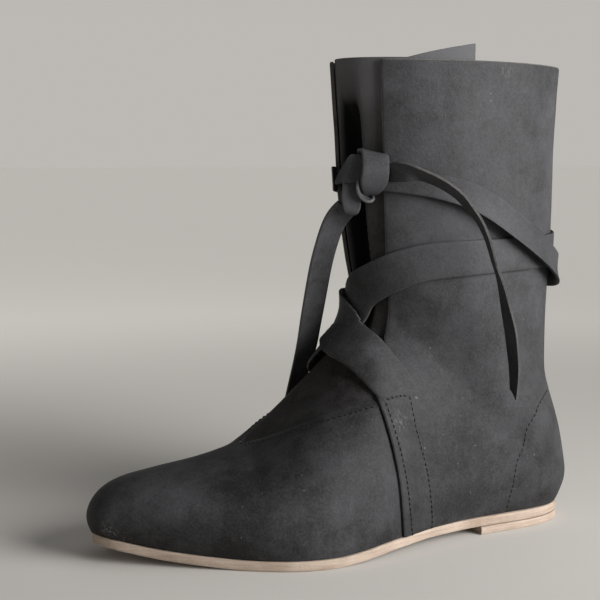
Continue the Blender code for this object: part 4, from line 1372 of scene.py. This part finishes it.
def stitch_places(row, lift, sign):
    """Even places along a row of stitching, with the row's direction and the leather's normal."""
    station, side = np.array(row).T
    chord = np.linalg.norm(np.diff(last_point(station, side), axis=0), axis=1)
    knots = np.concatenate([[0], np.cumsum(chord)])
    at = np.linspace(0, knots[-1], STITCH_STEPS)
    station = smooth_curve(knots, station, at)
    side = smooth_curve(knots, side, at) * sign
    point, _, _, normal = last_frame(station, side)
    height = quarter_raise(station) + relief(point) + lift
    point = point + normal * height[:, None]
    run = np.concatenate([[0], np.cumsum(np.linalg.norm(np.diff(point, axis=0), axis=1))])
    marks = np.arange(STITCH_PITCH / 2, run[-1], STITCH_PITCH)
    take = np.searchsorted(run, marks).clip(1, len(run) - 1)
    return point[take], unit(np.gradient(point, axis=0))[take], normal[take]


def add_stitches(finish):
    """All rows of stitching as one piece of thread."""
    places = []
    for row, lateral_lift, medial_lift in STITCH_ROWS:
        places += [stitch_places(row, lateral_lift, 1), stitch_places(row, medial_lift, -1)]
    middle, along, normal = [np.concatenate(values) for values in zip(*places)]
    beside = np.cross(normal, along)
    turn = np.linspace(0, 2 * np.pi, STITCH_SIDES, endpoint=False)
    rings = []
    for share, radius, height in STITCH_RINGS:
        centre = middle + along * (share * STITCH_LENGTH / 2) + normal * (height * STITCH_RADIUS)
        ways = [beside * np.cos(angle) + normal * np.sin(angle) for angle in turn]
        rings.append(np.stack([centre + way * radius * STITCH_RADIUS for way in ways], axis=1))
    points = np.stack(rings, axis=1).reshape(-1, 3)
    ring = np.arange(STITCH_SIDES)
    after = np.roll(ring, -1)
    side_faces = np.stack([ring, after, after + STITCH_SIDES, ring + STITCH_SIDES], -1)
    to_end = (len(STITCH_RINGS) - 1) * STITCH_SIDES
    faces = []
    for start in range(0, len(points), to_end + STITCH_SIDES):
        for level in range(start, start + to_end, STITCH_SIDES):
            faces += (side_faces + level).tolist()
        faces += [(ring[::-1] + start).tolist(), (ring + start + to_end).tolist()]
    shape = points, faces, np.zeros(len(faces), int)
    return add_piece("stitching", shape, [finish], replaces=False)


add_camera()

leather = black_leather("black_leather", BLACK_TONES, BLACK_GLOSS)
# Tongue's leather: painted light on its top and painted shade in its fold
tongue_leather = black_leather("tongue_leather", TONGUE_TONES, TONGUE_GLOSS, light_and_shade_painted=True)
edge = fibrous("cut_edge", CUT_PATTERNS, CUT_TONES, CUT_SURFACE)
# Straps' cut edges, painted black as shade round the ankle
strap_edge_in_shade = fibrous("strap_edge_in_shade", CUT_PATTERNS, CUT_TONES, CUT_SURFACE, shade_black_above=True)
insole_leather = fibrous("insole_leather", INSOLE_PATTERNS, INSOLE_TONES, INSOLE_SURFACE)
thread = fibrous("thread", THREAD_PATTERNS, THREAD_TONES, THREAD_SURFACE)
pale = sole_leather()

tail_lateral, lateral_path, lateral_length = add_tail(
    "strap_tail_lateral", TAIL_LATERAL, [leather, edge], -TIP_SLANT)
tail_medial, medial_path, medial_length = add_tail(
    "strap_tail_medial", TAIL_MEDIAL, [leather, edge], TIP_SLANT)
knot = add_knot([leather, edge])

add_strap("strap_lateral", STRAP_LATERAL, [leather, strap_edge_in_shade])
add_strap("strap_medial", STRAP_MEDIAL, [leather, strap_edge_in_shade])
add_upper([leather, edge])
add_tongue([tongue_leather, edge])
add_layer("outsole", SOLE_LENGTH, 0.0, sole_under, SOLE_THICK, pale)
add_layer("heel_lift", HEEL_BREAST, 0.0, np.zeros_like, LIFT_THICK, pale)
add_layer("insole", SOLE_LENGTH, FEATHER_INSET + WALL + INSOLE_SIDE_ROOM, feather_height, INSOLE_THICK,
          insole_leather)
add_stitches(thread)

add_floor()
add_lights()
add_sky()
